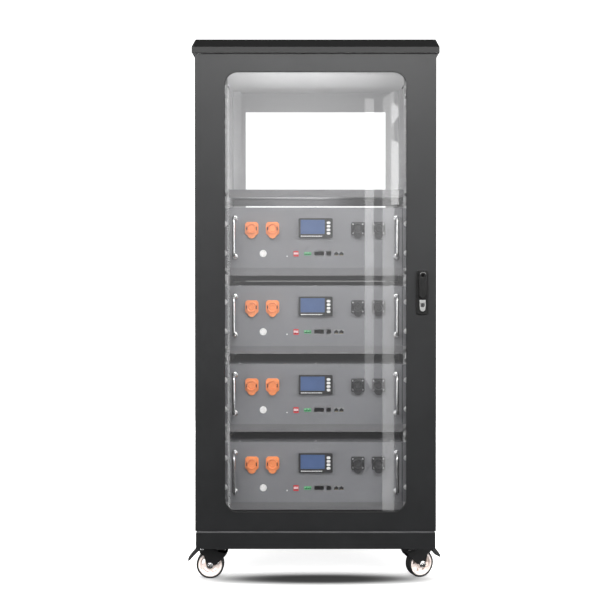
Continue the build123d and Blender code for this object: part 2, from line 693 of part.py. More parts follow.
def signal_terminals():
    """Green pluggable terminal blocks with square wire entries."""
    made = []
    y0, y1 = FASCIA_FRONT - 2, CASE_FRONT + 4
    for bottom in module_bottoms():
        z = bottom + PORT_HEIGHT
        unit = plate_y(Rectangle(18, 8), TERMINAL_X, z, y0, y1)
        entries = GridLocations(4.2, 1, 4, 1) * Rectangle(2.6, 3)
        made.append(unit - plate_y(Sketch() + entries, TERMINAL_X, z, y0 - 1, y0 + 3))
    return Compound(children=made)


def network_ports():
    """Data socket housings, single and paired, with shallow mouths."""
    made = []
    y0, y1 = FASCIA_FRONT - 0.6, CASE_FRONT + 14
    for bottom in module_bottoms():
        z = bottom + PORT_HEIGHT
        for x, count in PORT_ROWS:
            unit = plate_y(Rectangle(count * PORT_PITCH, 13), x, z, y0, y1)
            mouths = GridLocations(PORT_PITCH, 1, count, 1) * Rectangle(*PORT_MOUTH)
            made.append(unit - plate_y(Sketch() + mouths, x, z - 0.6, y0 - 1, y0 + PORT_RECESS))
    return Compound(children=made)


def cell_packs():
    """Sixteen prismatic cells in two rows inside each module."""
    made = []
    for bottom in module_bottoms():
        for place in GridLocations(50, 176, 8, 2):
            x, y = place.position.X, 35 + place.position.Y
            z = bottom + CASE_SHEET
            made.append(block(x - 24, x + 24, y - 86, y + 86, z, z + 125))
    return Compound(children=made)


def bms_boards():
    """Battery management boards standing behind the front plates."""
    y = CASE_FRONT + 30
    rows = [bottom + 20 for bottom in module_bottoms()]
    return Compound(children=[block(-190, 190, y, y + 2, z, z + 110) for z in rows])


# Casters ------------------------------------------------------------------


def caster_place(name):
    """Where a caster's stem stands and which way it trails."""
    x, y, yaw = CASTERS[name]
    return Pos(x, y, 0) * Rot(0, 0, yaw)


def caster_plates():
    """Fixed plates with bolt holes, swivel race and kingpin."""
    return Compound(children=[caster_top(x, y) for x, y, _ in CASTERS.values()])


def caster_top(x, y):
    """One fixed plate with the race and the riveted kingpin below it."""
    half = CASTER_PLATE / 2
    top = block(x - half, x + half, y - half, y + half, CASTER_HEIGHT - 3, CASTER_HEIGHT)
    for place in GridLocations(CASTER_BOLTS, CASTER_BOLTS, 2, 2):
        at = place.position
        top -= rod_z(x + at.X, y + at.Y, 3.3, CASTER_HEIGHT - 4, CASTER_HEIGHT + 1)
    low = FORK_TOP - FORK_CROWN - 0.5
    top += rod_z(x, y, RACE_R, FORK_TOP + 0.3, CASTER_HEIGHT - 3)
    return top + rod_z(x, y, KINGPIN_R, low, CASTER_HEIGHT - 3) + rod_z(x, y, 8, low - 2, low)


def fork(name):
    """Swivel fork with its axle bolt; the braked ones also hold the pedal's pin."""
    low = FORK_TOP - FORK_CROWN
    wide = LEG_INNER + LEG_THICK
    body = rod_z(0, 0, FORK_CROWN_R, low, FORK_TOP) + block(0, 38, -wide, wide, low + 3, FORK_TOP)
    body -= rod_z(0, 0, KINGPIN_R + AXLE_FIT, low - 1, FORK_TOP + 1)
    for y0 in (-wide, LEG_INNER):
        leg = plate_y(make_face(Polyline(*LEG_OUTLINE, close=True)), 0, 0, y0, y0 + LEG_THICK)
        leg += rod_y(CASTER_TRAIL, WHEEL_R, 9.2, y0, y0 + LEG_THICK)
        body += leg - rod_y(CASTER_TRAIL, WHEEL_R, AXLE_R, y0 - 1, y0 + LEG_THICK + 1)
    if "front" in name:
        body += rod_y(*PEDAL_PIVOT, PEDAL_PIN_R, -wide - 1, wide + 1)
        body += rod_y(*PEDAL_PIVOT, 4.2, -wide - 1.5, -wide) + rod_y(*PEDAL_PIVOT, 4.2, wide, wide + 1.5)
    axle = rod_y(CASTER_TRAIL, WHEEL_R, AXLE_R, -wide - 6, wide + 6)
    for y0 in (-wide - 5, wide):
        axle += plate_y(RegularPolygon(7, 6), CASTER_TRAIL, WHEEL_R, y0, y0 + 5)
    return Compound(children=[body.moved(caster_place(name)), axle.moved(caster_place(name))])


def brake_pedal(name):
    """Foot pedal on the fork's pin, with a shoe that comes down onto the tread when pressed."""
    x, z = PEDAL_PIVOT
    pedal = rod_y(x, z, 5, -PEDAL_HUB, PEDAL_HUB)
    pedal += plate_y(make_face(Polyline(*PEDAL_OUTLINE, close=True)), 0, 0, -11, 11)
    shoe_x, shoe_z = PEDAL_SHOE
    pedal += rod_y(shoe_x, shoe_z, 2.5, -9, 9)
    pedal += block(shoe_x - 2.4, shoe_x + 2.4, -9, 9, shoe_z, z)
    return (pedal - rod_y(x, z, PEDAL_PIN_R + AXLE_FIT, -20, 20)).moved(caster_place(name))


def tyre(name):
    """Rubber tread ring."""
    half = TYRE_WIDTH / 2
    ring = rod_y(CASTER_TRAIL, WHEEL_R, WHEEL_R, -half, half)
    ring -= rod_y(CASTER_TRAIL, WHEEL_R, RIM_R, -half - 1, half + 1)
    outer = ring.edges().filter_by(GeomType.CIRCLE).sort_by(SortBy.RADIUS)[-2:]
    return fillet(outer, 2.5).moved(caster_place(name))


def rim(name):
    """Wheel body with a sunken web, a hub and the axle bore."""
    half = RIM_WIDTH / 2
    body = rod_y(CASTER_TRAIL, WHEEL_R, RIM_R, -half, half)
    for y0, y1 in ((-half - 1, -half + 5), (half - 5, half + 1)):
        body -= rod_y(CASTER_TRAIL, WHEEL_R, RIM_R - 6, y0, y1)
    body += rod_y(CASTER_TRAIL, WHEEL_R, 10, -LEG_INNER + 0.4, LEG_INNER - 0.4)
    bore = rod_y(CASTER_TRAIL, WHEEL_R, AXLE_R + AXLE_FIT, -20, 20)
    return (body - bore).moved(caster_place(name))


def rear_wheel(name):
    """An unbraked wheel: tread and body together."""
    return Compound(children=[tyre(name), rim(name)])


# Write one STEP per named piece -------------------------------------------

PIECES = {
    "base_frame": base_frame(),
    "front_frame": front_frame(),
    "rear_frame": rear_frame(),
    "depth_beams": depth_beams(),
    "left_side_panel": side_panel(-1),
    "right_side_panel": side_panel(1),
    "top_cover": top_cover(),
    "mounting_rails": mounting_rails(),
    "shelves": shelves(),
    "rack_screws": rack_screws(),
    "hinge_pins": hinge_pins(),
    "door_frame": door_frame(),
    "window_gasket": window_gasket(),
    "door_glass": door_glass(),
    "glass_clamps": glass_clamps(),
    "handle_plate": handle_plate(),
    "lock_shield": lock_shield(),
    "lock_plug": lock_plug(),
    "handle_hub": handle_hub(),
    "handle_lever": handle_lever(),
    "latch_cam": latch_cam(),
    "module_lids": module_lids(),
    "front_panels": front_panels(),
    "module_handles": module_handles(),
    "positive_sockets": power_sockets(POSITIVE_X),
    "negative_sockets": power_sockets(NEGATIVE_X),
    "socket_screws": socket_screws(),
    "display_units": display_units(),
    "display_screens": display_screens(),
    "button_bezels": button_bezels(),
    "dip_switches": dip_switches(),
    "signal_terminals": signal_terminals(),
    "network_ports": network_ports(),
    "cell_packs": cell_packs(),
    "bms_boards": bms_boards(),
    "caster_plates": caster_plates(),
}
for number, level in enumerate(module_bottoms(), 1):
    PIECES[f"module_case_{number}"] = module_case(level)
    PIECES[f"keypad_{number}"] = keypad(level)
    PIECES[f"power_button_{number}"] = power_button(level)
for caster in CASTERS:
    PIECES[f"fork_{caster}"] = fork(caster)
    if "front" in caster:
        PIECES[f"tyre_{caster}"] = tyre(caster)
        PIECES[f"rim_{caster}"] = rim(caster)
        PIECES[f"brake_pedal_{caster}"] = brake_pedal(caster)
    else:
        PIECES[f"wheel_{caster}"] = rear_wheel(caster)

os.makedirs("parts", exist_ok=True)
for node, shape in PIECES.items():
    export_step(shape, f"parts/{node}.step")
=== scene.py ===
import math

import bmesh
import bpy
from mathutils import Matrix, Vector

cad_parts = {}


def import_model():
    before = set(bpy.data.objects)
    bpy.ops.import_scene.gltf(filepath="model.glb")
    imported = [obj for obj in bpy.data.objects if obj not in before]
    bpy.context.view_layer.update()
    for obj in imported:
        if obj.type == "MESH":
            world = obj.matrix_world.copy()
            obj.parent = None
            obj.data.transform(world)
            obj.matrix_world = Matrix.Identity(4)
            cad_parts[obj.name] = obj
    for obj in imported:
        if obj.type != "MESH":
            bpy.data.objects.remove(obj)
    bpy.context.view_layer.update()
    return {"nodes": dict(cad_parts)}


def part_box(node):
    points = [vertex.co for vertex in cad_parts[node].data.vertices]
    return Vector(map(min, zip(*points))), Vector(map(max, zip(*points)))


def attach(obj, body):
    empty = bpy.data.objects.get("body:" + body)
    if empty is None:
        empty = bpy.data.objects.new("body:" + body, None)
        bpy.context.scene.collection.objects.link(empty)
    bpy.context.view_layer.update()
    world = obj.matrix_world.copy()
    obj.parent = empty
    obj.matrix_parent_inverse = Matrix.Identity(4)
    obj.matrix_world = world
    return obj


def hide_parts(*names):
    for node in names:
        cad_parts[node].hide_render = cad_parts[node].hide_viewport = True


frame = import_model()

# Sizes are in millimetres and the scene in metres. +Z is up and the door faces -Y.
MM = 0.001

# Where the CAD puts things
DOOR_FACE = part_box("door_frame")[0].y / MM
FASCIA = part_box("front_panels")[0].y / MM
EAR_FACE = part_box("module_case_1")[0].y / MM
MODULE_BOTTOMS = [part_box(f"module_case_{n}")[0].z / MM for n in (1, 2, 3, 4)]
MODULE_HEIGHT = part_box("module_lids")[1].z / MM - MODULE_BOTTOMS[-1]
HANDLE_X, HUB_Z, LOCK_Z = 265, 768, 700
LEVER_PIVOT = (DOOR_FACE - 13.5, 778.5)
CASTERS = {
    "front_left": (-241, -226, 180),
    "front_right": (241, -226, 24),
    "rear_left": (-241, 226, 160),
    "rear_right": (241, 226, 15),
}
WHEEL_AT = (28, 35)
PEDAL_PIN = (48, 76)


# Materials ----------------------------------------------------------------

# Depth of the paint's and the mouldings' grain, in metres
GRAIN_DEPTH = 0.0001


class Look:
    """A Principled material with procedural layers added one at a time."""

    def __init__(self, name, colour, roughness, metallic=0.0, **sockets):
        self.material = bpy.data.materials.new(name)
        self.material.use_nodes = True
        self.nodes = self.material.node_tree.nodes
        self.links = self.material.node_tree.links
        self.shader = self.nodes["Principled BSDF"]
        self.shader.inputs["Base Color"].default_value = (*colour, 1)
        self.shader.inputs["Roughness"].default_value = roughness
        self.shader.inputs["Metallic"].default_value = metallic
        for socket, value in sockets.items():
            self.shader.inputs[socket.replace("_", " ")].default_value = value

    def place(self, stretch=(1, 1, 1)):
        """Object coordinates, stretched."""
        coords = self.nodes.new("ShaderNodeTexCoord")
        mapping = self.nodes.new("ShaderNodeMapping")
        mapping.inputs["Scale"].default_value = stretch
        self.links.new(coords.outputs["Object"], mapping.inputs["Vector"])
        return mapping.outputs["Vector"]

    def noise(self, scale, detail=3.0, stretch=(1, 1, 1)):
        """Smooth noise from 0 to 1."""
        texture = self.nodes.new("ShaderNodeTexNoise")
        texture.inputs["Scale"].default_value = scale
        texture.inputs["Detail"].default_value = detail
        self.links.new(self.place(stretch), texture.inputs["Vector"])
        return texture.outputs["Fac"]

    def bands(self, scale, direction):
        """Straight parallel bands."""
        texture = self.nodes.new("ShaderNodeTexWave")
        texture.bands_direction = direction
        texture.inputs["Scale"].default_value = scale
        self.links.new(self.place(), texture.inputs["Vector"])
        return texture.outputs["Fac"]

    def height(self, low, high, axis="Z"):
        """0 to 1 between two heights in metres along one object axis."""
        split = self.nodes.new("ShaderNodeSeparateXYZ")
        self.links.new(self.place(), split.inputs["Vector"])
        return self.spread(split.outputs[axis], 0, 1, low, high)

    def spread(self, value, to_low, to_high, low=0.3, high=0.7, form="LINEAR"):
        """A value between low and high mapped to another range."""
        node = self.nodes.new("ShaderNodeMapRange")
        node.interpolation_type = form
        node.inputs["From Min"].default_value = low
        node.inputs["From Max"].default_value = high
        node.inputs["To Min"].default_value = to_low
        node.inputs["To Max"].default_value = to_high
        self.links.new(value, node.inputs["Value"])
        return node.outputs["Result"]

    def colour(self, value, first, second, low=0.3, high=0.7):
        """Blends the base colour from first to second."""
        mix = self.nodes.new("ShaderNodeMix")
        mix.data_type = "RGBA"
        mix.inputs["A"].default_value = (*first, 1)
        mix.inputs["B"].default_value = (*second, 1)
        self.links.new(self.spread(value, 0, 1, low, high), mix.inputs["Factor"])
        self.links.new(mix.outputs["Result"], self.shader.inputs["Base Color"])
        return self

    def roughness(self, value, low, high):
        """Drives roughness between two values."""
        self.links.new(self.spread(value, low, high), self.shader.inputs["Roughness"])
        return self

    def bump(self, value, strength, distance):
        """Surface relief, distance in metres."""
        node = self.nodes.new("ShaderNodeBump")
        node.inputs["Strength"].default_value = strength
        node.inputs["Distance"].default_value = distance
        self.links.new(value, node.inputs["Height"])
        previous = self.shader.inputs["Normal"]
        if previous.is_linked:
            self.links.new(previous.links[0].from_socket, node.inputs["Normal"])
        self.links.new(node.outputs["Normal"], previous)
        return self


def powder_coat(name, dark, light, roughness=0.42, relief=0.08):
    """Baked powder paint: fine orange peel, slight cloudiness."""
    look = Look(name, dark, roughness)
    look.colour(look.noise(9, 4), dark, light)
    look.roughness(look.noise(60, 3), roughness - 0.02, roughness + 0.03)
    return look.bump(look.noise(700, 2), relief, GRAIN_DEPTH).material


def rear_look():
    """Black powder paint on the outer faces; the faces turned to the bay are painted pale, as
    painted light standing in for the lit bay.
    """
    look = Look("rear_frame_paint", (0.006, 0.006, 0.007), 0.4)
    surface = look.nodes.new("ShaderNodeNewGeometry")
    low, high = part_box("rear_frame")
    outward = look.nodes.new("ShaderNodeVectorMath")
    outward.operation = "SUBTRACT"
    outward.inputs[1].default_value = (0, 0, (low[2] + high[2]) / 2)
    look.links.new(surface.outputs["Position"], outward.inputs[0])
    facing = look.nodes.new("ShaderNodeVectorMath")
    facing.operation = "DOT_PRODUCT"
    look.links.new(outward.outputs["Vector"], facing.inputs[0])
    look.links.new(surface.outputs["Normal"], facing.inputs[1])
    # Painted light: the faces turned to the bay get a pale grey that stands in for the light in the
    # bay; the outer faces are black.
    pale, black = (0.47, 0.47, 0.475), (0.0055, 0.0058, 0.0064)
    look.colour(facing.outputs["Value"], pale, black, -0.01, 0.01)
    look.roughness(look.noise(60, 3), 0.4, 0.46)
    return look.bump(look.noise(700, 2), 0.03, GRAIN_DEPTH).material


def moulded_plastic(name, dark, light, roughness, grain=1400):
    """Moulded plastic with a fine spark-eroded grain."""
    look = Look(name, dark, roughness)
    look.colour(look.noise(40, 3), dark, light)
    look.roughness(look.noise(150, 2), roughness - 0.05, roughness + 0.05)
    return look.bump(look.noise(grain, 2), 0.15, GRAIN_DEPTH).material


def metal(name, colour, second, roughness, stretch=(1, 1, 1), scale=300):
    """Bare or plated metal, brushed along the axis that stretch leaves small."""
    look = Look(name, colour, roughness, metallic=1.0)
    look.colour(look.noise(30, 3), colour, second)
    brushed = look.noise(scale, 3, stretch)
    look.roughness(brushed, max(roughness - 0.06, 0.02), roughness + 0.08)
    return look.bump(brushed, 0.05, GRAIN_DEPTH).material


# Look: material, darker and lighter colour, roughness, and what else its function takes
PAINTS = {
    "cabinet": ("cabinet_powder_coat", (0.0045, 0.0047, 0.0052), (0.007, 0.0073, 0.0079), 0.37),
    "fork": ("fork_enamel", (0.006, 0.006, 0.0065), (0.009, 0.009, 0.0095), 0.3),
    "rack": ("rack_grey_paint", (0.145, 0.145, 0.15), (0.17, 0.17, 0.175), 0.45),
    "module": ("module_grey_paint", (0.185, 0.187, 0.197), (0.21, 0.212, 0.223), 0.4),
    "inside": ("inner_panel_paint", (0.46, 0.46, 0.465), (0.5, 0.5, 0.505), 0.5, 0.02),
}
PLASTICS = {
    "black_plastic": ("black_moulding", (0.018, 0.018, 0.019), (0.026, 0.026, 0.027), 0.42),
    "socket_black": ("black_socket_moulding", (0.035, 0.035, 0.037), (0.05, 0.05, 0.052), 0.4),
    "orange": ("orange_moulding", (0.84, 0.28, 0.095), (0.92, 0.33, 0.12), 0.38),
    "white": ("white_moulding", (0.78, 0.78, 0.77), (0.86, 0.86, 0.85), 0.3),
    "red": ("red_moulding", (0.62, 0.02, 0.035), (0.75, 0.035, 0.05), 0.35),
    "green": ("green_moulding", (0.08, 0.42, 0.16), (0.11, 0.5, 0.2), 0.4),
    "board": ("circuit_board", (0.01, 0.11, 0.04), (0.015, 0.15, 0.055), 0.35),
    "cell": ("cell_wrap", (0.05, 0.13, 0.3), (0.06, 0.16, 0.36), 0.3),
    "rim": ("rim_nylon", (0.80, 0.69, 0.64), (0.88, 0.79, 0.75), 0.32),
    "rubber": ("black_rubber", (0.006, 0.006, 0.006), (0.01, 0.01, 0.01), 0.55, 900),
    # Painted highlight: a grey strip standing in for the light on the plinth's top edge.
    "edge_highlight_strip": ("painted_edge_highlight", (0.05, 0.05, 0.052), (0.07, 0.07, 0.072), 0.35),
    "port": ("port_shell", (0.24, 0.24, 0.245), (0.28, 0.28, 0.285), 0.4),
    # Painted shade: a near-black fill for slits, joints and the floors behind openings, standing in
    # for the shade in these recesses.
    "recess_shade": ("painted_recess_shade", (0.004, 0.004, 0.004), (0.008, 0.008, 0.008), 0.7),
}
METALS = {
    "chrome": ("chrome_plate", (0.88, 0.88, 0.89), (0.94, 0.94, 0.94), 0.16),
    "zinc": ("zinc_plate", (0.7, 0.71, 0.72), (0.8, 0.8, 0.8), 0.26),
    "bright_zinc": ("bright_zinc", (0.86, 0.86, 0.86), (0.93, 0.93, 0.93), 0.55),
    "satin": ("satin_steel", (0.44, 0.44, 0.44), (0.52, 0.52, 0.51), 0.34, (1, 1, 0.03), 800),
    "gunmetal": ("gunmetal", (0.10, 0.10, 0.10), (0.14, 0.14, 0.14), 0.35),
    "gold": ("contact_gold", (0.5, 0.38, 0.17), (0.56, 0.43, 0.2), 0.3),
}


def make_looks():
    """Every material of the object, by name."""
    looks = {
        "cover": cover_look(),
        "rear": rear_look(),
        "handle": handle_look(),
        "screen": screen_look(),
        "glass": glass_look(),
    }
    for make, table in ((powder_coat, PAINTS), (moulded_plastic, PLASTICS), (metal, METALS)):
        for name, values in table.items():
            looks[name] = make(*values)
    return looks


def handle_look():
    """Matt black die casting, darker than the door."""
    look = Look("handle_casting", (0.004, 0.004, 0.004), 0.4)
    look.shader.inputs["Specular IOR Level"].default_value = 0.28
    look.colour(look.noise(40, 3), (0.003, 0.003, 0.003), (0.006, 0.006, 0.006))
    look.roughness(look.noise(150, 2), 0.34, 0.46)
    return look.bump(look.noise(900, 2), 0.1, GRAIN_DEPTH).material


def grey_ramp(nodes, stops):
    """A colour ramp through grey levels, each at its place from 0 to 1."""
    ramp = nodes.new("ShaderNodeValToRGB")
    elements = ramp.color_ramp.elements
    while len(elements) < len(stops):
        elements.new(0.5)
    for element, (place, level) in zip(elements, stops):
        element.position = place
        element.color = (level, level, level, 1)
    return ramp


def cover_look():
    """Black enamel whose grey level follows each face's direction: painted light makes the upright
    rim dark grey and the faces that look down pale, and faces that look up stay near black.
    """
    look = Look("cover_enamel", (0.006, 0.006, 0.006), 0.45)
    look.shader.inputs["Specular IOR Level"].default_value = 0.06
    normal = look.nodes.new("ShaderNodeNewGeometry")
    split = look.nodes.new("ShaderNodeSeparateXYZ")
    look.links.new(normal.outputs["Normal"], split.inputs["Vector"])
    # Painted light and shade by facing: pale looking down, dark grey upright, near black looking
    # up.
    ramp = grey_ramp(look.nodes, ((0.1, 0.5), (0.25, 0.032), (0.52, 0.032), (0.64, 0.003)))
    look.links.new(look.spread(split.outputs["Z"], 0, 1, -1, 1), ramp.inputs["Fac"])
    look.links.new(ramp.outputs["Color"], look.shader.inputs["Base Color"])
    look.roughness(look.noise(60, 3), 0.4, 0.5)
    return look.bump(look.noise(500, 2), 0.05, GRAIN_DEPTH).material


def screen_look():
    """Backlit blue-grey screen with faint horizontal rows."""
    look = Look("display_screen", (0.06, 0.11, 0.25), 0.18)
    look.colour(look.noise(25, 2), (0.05, 0.085, 0.18), (0.06, 0.10, 0.21))
    look.bump(look.bands(700, "Z"), 0.08, 0.00005)
    look.shader.inputs["Emission Color"].default_value = (0.10, 0.16, 0.32, 1)
    look.shader.inputs["Emission Strength"].default_value = 0.2
    return look.material


def glass_look():
    """Thin toughened pane: mostly clear, with a grey veil painted into its colour as painted
    reflection of the bright surroundings, stronger towards the top.
    """
    look = Look("toughened_glass", (0.3, 0.3, 0.3), 0.02, IOR=3.0, Alpha=0.16)
    # Painted reflection: the pane's grey veil grows with height, standing in for the bright
    # surroundings that it reflects.
    painted_reflection_veil = look.height(0.2, 1.28)
    look.colour(painted_reflection_veil, (0.045, 0.045, 0.047), (0.18, 0.18, 0.184), 0, 1)
    look.bump(look.noise(3, 1), 0.02, 0.0005)
    return look.material


LOOKS = make_looks()


# Shapes -------------------------------------------------------------------

CORNER_STEPS = 6


def ring(radius, x=0.0, z=0.0, steps=40, start=0.0, turn=360.0):
    """Points round a circle in X and Z; a full turn leaves out the repeated last point."""
    count = steps if turn == 360.0 else steps + 1
    angles = [math.radians(start + turn * k / steps) for k in range(count)]
    return [(x + radius * math.cos(a), z + radius * math.sin(a)) for a in angles]


def rounded(width, height, radius, x=0.0, z=0.0):
    """A rounded rectangle's outline in X and Z."""
    a, b = width / 2 - radius, height / 2 - radius
    corners = ((a, b, 0), (-a, b, 90), (-a, -b, 180), (a, -b, 270))
    points = []
    for cx, cz, start in corners:
        points += ring(radius, x + cx, z + cz, CORNER_STEPS, start, 90)
    return points


class Shape:
    """A mesh under construction, in millimetres."""

    def __init__(self):
        self.bm = bmesh.new()

    def plate(self, outline, y0, y1, holes=()):
        """An outline in X and Z, with holes, extruded along Y."""
        edges = []
        for loop in (outline, *holes):
            verts = [self.bm.verts.new((x, y0, z)) for x, z in loop]
            edges += [self.bm.edges.new((a, b)) for a, b in zip(verts, verts[1:] + verts[:1])]
        if holes:
            made = bmesh.ops.triangle_fill(
                self.bm, use_beauty=True, use_dissolve=True, edges=edges
            )
            faces = [g for g in made["geom"] if isinstance(g, bmesh.types.BMFace)]
        else:
            faces = bmesh.ops.contextual_create(self.bm, geom=edges)["faces"]
        self.raise_faces(faces, (0, y1 - y0, 0))
        return self

    def raise_faces(self, faces, by):
        """Extrudes faces, keeping the starting ones as the other side."""
        made = bmesh.ops.extrude_face_region(self.bm, geom=faces, use_keep_orig=True)
        moved = [g for g in made["geom"] if isinstance(g, bmesh.types.BMVert)]
        bmesh.ops.translate(self.bm, vec=by, verts=moved)

    def box(self, x0, x1, y0, y1, z0, z1):
        """A box between two corners."""
        return self.plate([(x0, z0), (x1, z0), (x1, z1), (x0, z1)], y0, y1)

    def lathe(self, profile, x=0.0, z=0.0, steps=48):
        """A profile of (radius, y) turned about an axis along Y; end it at radius 0 to close it."""
        rows = []
        for radius, y in profile:
            places = ring(radius, x, z, steps) if radius else [(x, z)]
            rows.append([self.bm.verts.new((px, y, pz)) for px, pz in places])
        for one, two in zip(rows, rows[1:]):
            for k in range(steps):
                n = (k + 1) % steps
                near = (one[k % len(one)], one[n % len(one)])
                far = (two[n % len(two)], two[k % len(two)])
                self.bm.faces.new(list(dict.fromkeys(near + far)))
        return self

    def rod(self, radius, y0, y1, x=0.0, z=0.0, chamfer=0.0, steps=32):
        """A chamfered disc or rod along Y."""
        inner = radius - chamfer
        near = [(0, y0), (inner, y0), (radius, y0 + chamfer)]
        far = [(radius, y1 - chamfer), (inner, y1), (0, y1)]
        return self.lathe(list(dict.fromkeys(near + far)), x, z, steps)

    def mesh(self, name, look, sharp=35):
        """The finished mesh in metres, smooth but for edges sharper than the given angle."""
        bmesh.ops.recalc_face_normals(self.bm, faces=self.bm.faces)
        bmesh.ops.scale(self.bm, vec=(MM, MM, MM), verts=self.bm.verts)
        mesh = bpy.data.meshes.new(name)
        self.bm.to_mesh(mesh)
        self.bm.free()
        mesh.shade_smooth()
        if sharp:
            mesh.set_sharp_from_angle(angle=math.radians(sharp))
        mesh.materials.append(LOOKS[look])
        return mesh


def add(name, mesh, body, at=(0, 0, 0), turn=0.0, tilt=0.0, bevel=0.0, replaces=()):
    """Places a mesh, in mm, as a piece that rides on a body; turned about Z and tilted about X."""
    piece = bpy.data.objects.new(name, mesh)
    bpy.context.scene.collection.objects.link(piece)
    piece.location = Vector(at) * MM
    piece.rotation_euler = (math.radians(tilt), 0, math.radians(turn))
    if bevel:
        soften(piece, bevel)
    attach(piece, body)
    if replaces:
        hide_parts(*replaces)
    return piece


def on_modules(name, mesh, node, body="cabinet", at=(0, 0, 0), tilt=0.0, bevel=0.0):
    """The same piece on each module; node and body may carry the module's number."""
    for n, bottom in enumerate(MODULE_BOTTOMS, 1):
        place = Vector(at) + Vector((0, 0, bottom))
        nodes = (node.format(n),) if node else ()
        add(f"{name}_{n}", mesh, body.format(n), place, tilt=tilt, bevel=bevel, replaces=nodes)


def soften(piece, width):
    """Rounds sharp edges so that they catch the light."""
    modifier = piece.modifiers.new("soft_edges", "BEVEL")
    modifier.width = width * MM
    modifier.segments = 2
    modifier.limit_method = "ANGLE"
    modifier.angle_limit = math.radians(40)
    modifier.harden_normals = True


def tube(name, points, radius, look):
    """The mesh of a round bar along points."""
    curve = bpy.data.curves.new(name, "CURVE")
    curve.dimensions = "3D"
    curve.bevel_depth = radius * MM
    curve.bevel_resolution = 6
    curve.use_fill_caps = True
    line = curve.splines.new("POLY")
    line.points.add(len(points) - 1)
    for point, place in zip(line.points, points):
        point.co = (*(Vector(place) * MM), 1)
    holder = bpy.data.objects.new(name + "_curve", curve)
    bpy.context.scene.collection.objects.link(holder)
    bpy.context.view_layer.update()
    mesh = bpy.data.meshes.new_from_object(holder)
    bpy.data.objects.remove(holder)
    mesh.shade_smooth()
    mesh.materials.append(LOOKS[look])
    return mesh


def paint(look, *nodes, bevel=0.0):
    """Gives CAD nodes a material and, if asked, softened edges."""
    for node in nodes:
        piece = frame["nodes"][node]
        piece.data.materials.clear()
        piece.data.materials.append(LOOKS[look])
        if bevel:
            soften(piece, bevel)


def cross(size, width, x=0.0, z=0.0):
    """A cross-shaped outline."""
    a, b = size / 2, width / 2
    corners = [(a, b), (b, b), (b, a), (-b, a), (-b, b), (-a, b)]
    corners += [(-px, -pz) for px, pz in corners]
    return [(x + px, z + pz) for px, pz in corners]


def screw(shape, radius, height, y, x=0.0, z=0.0):
    """Adds a pan head with a cross recess, seated at y and facing -Y."""
    face, step = y - height, height * 0.4
    rim = radius * 0.82
    seat = face + step
    shape.lathe([(0, seat), (rim, seat), (radius, y - step), (radius, y), (0, y)], x, z, 24)
    shape.plate(ring(rim, x, z, 24), face, seat, [cross(radius * 1.1, radius * 0.3, x, z)])


# The battery modules ------------------------------------------------------

HANDLE_X_IN_MODULE = 206.5
HANDLE_FEET = (28, 125.5)
HANDLE_BAR = 4
HANDLE_OUT = FASCIA - 38
HANDLE_BEND = 10
SOCKET_Z = 100
POSITIVE_X = (-163, -110)
NEGATIVE_X = (108, 161)
DISPLAY_AT = (0, 0, 101.5)
DISPLAY_DEPTH = 8
SCREEN_X, SCREEN_Z = -7.5, 3
SCREEN_SIZE = (62.6, 37.2)
DASH_Z, DASH_GAP = -20.6, 1.1
DASH_WIDTHS = (4.4, 3.4, 4.4, 2.2, 3.6, 3.2, 4.4, 2.6, 3.8, 3.2, 4.0, 2.8)
KEY_X = 33
KEY_HEIGHTS = (-13.5, -4.5, 4.5, 13.5)
LOWER_ROW_Z = 36
BUTTON_AT = (-134, 0, 36.5)
SWITCH_AT = (-50, 0, LOWER_ROW_Z)
SLIDERS_X = (-4.5, -1.5, 1.5, 4.5)
TERMINAL_AT = (-20.5, 0, LOWER_ROW_Z)
WIRES_X = (-6.3, -2.1, 2.1, 6.3)
WIRE_Z, CLAMP_Z = -1.6, 2.1
PORTS_AT = (0, 0, LOWER_ROW_Z)
PORT_GROUPS = ((9, 2), (33.5, 1), (59.5, 2))
PORT_SIZE = 13
EAR_SCREWS_X, EAR_SCREWS_Z = (-232.55, 232.55), (37.5, 112.5)
LID_SCREWS_X = (-195, 0, 195)
LIGHT_AT = (-73, 0, 29.6)


def pull_handles():
    """Chrome bars with rounded bends and a stepped collar at each foot."""
    y = FASCIA
    low, high = HANDLE_FEET
    points = [(0, y, low)]
    for z, start in ((low + HANDLE_BEND, 270), (high - HANDLE_BEND, 180)):
        bend = ring(HANDLE_BEND, HANDLE_OUT + HANDLE_BEND, z, 10, start, -90)
        points += [(0, py, pz) for py, pz in bend]
    points.append((0, y, high))
    bar = tube("pull_handle", points, HANDLE_BAR, "chrome")
    profile = [(3.9, y - 4.2), (5.4, y - 4.2), (6, y - 3.6), (6.2, y - 1.6)]
    profile += [(7.4, y - 1.2), (7.4, y), (3.9, y)]
    collar = Shape()
    for z in HANDLE_FEET:
        collar.lathe(profile, 0, z, 36)
    collars = collar.mesh("handle_collars", "chrome", 25)
    for side, x in (("left", -HANDLE_X_IN_MODULE), ("right", HANDLE_X_IN_MODULE)):
        on_modules(f"pull_handle_{side}", bar, "module_handles", at=(x, 0, 0))
        on_modules(f"handle_collars_{side}", collars, "module_handles", at=(x, 0, 0))


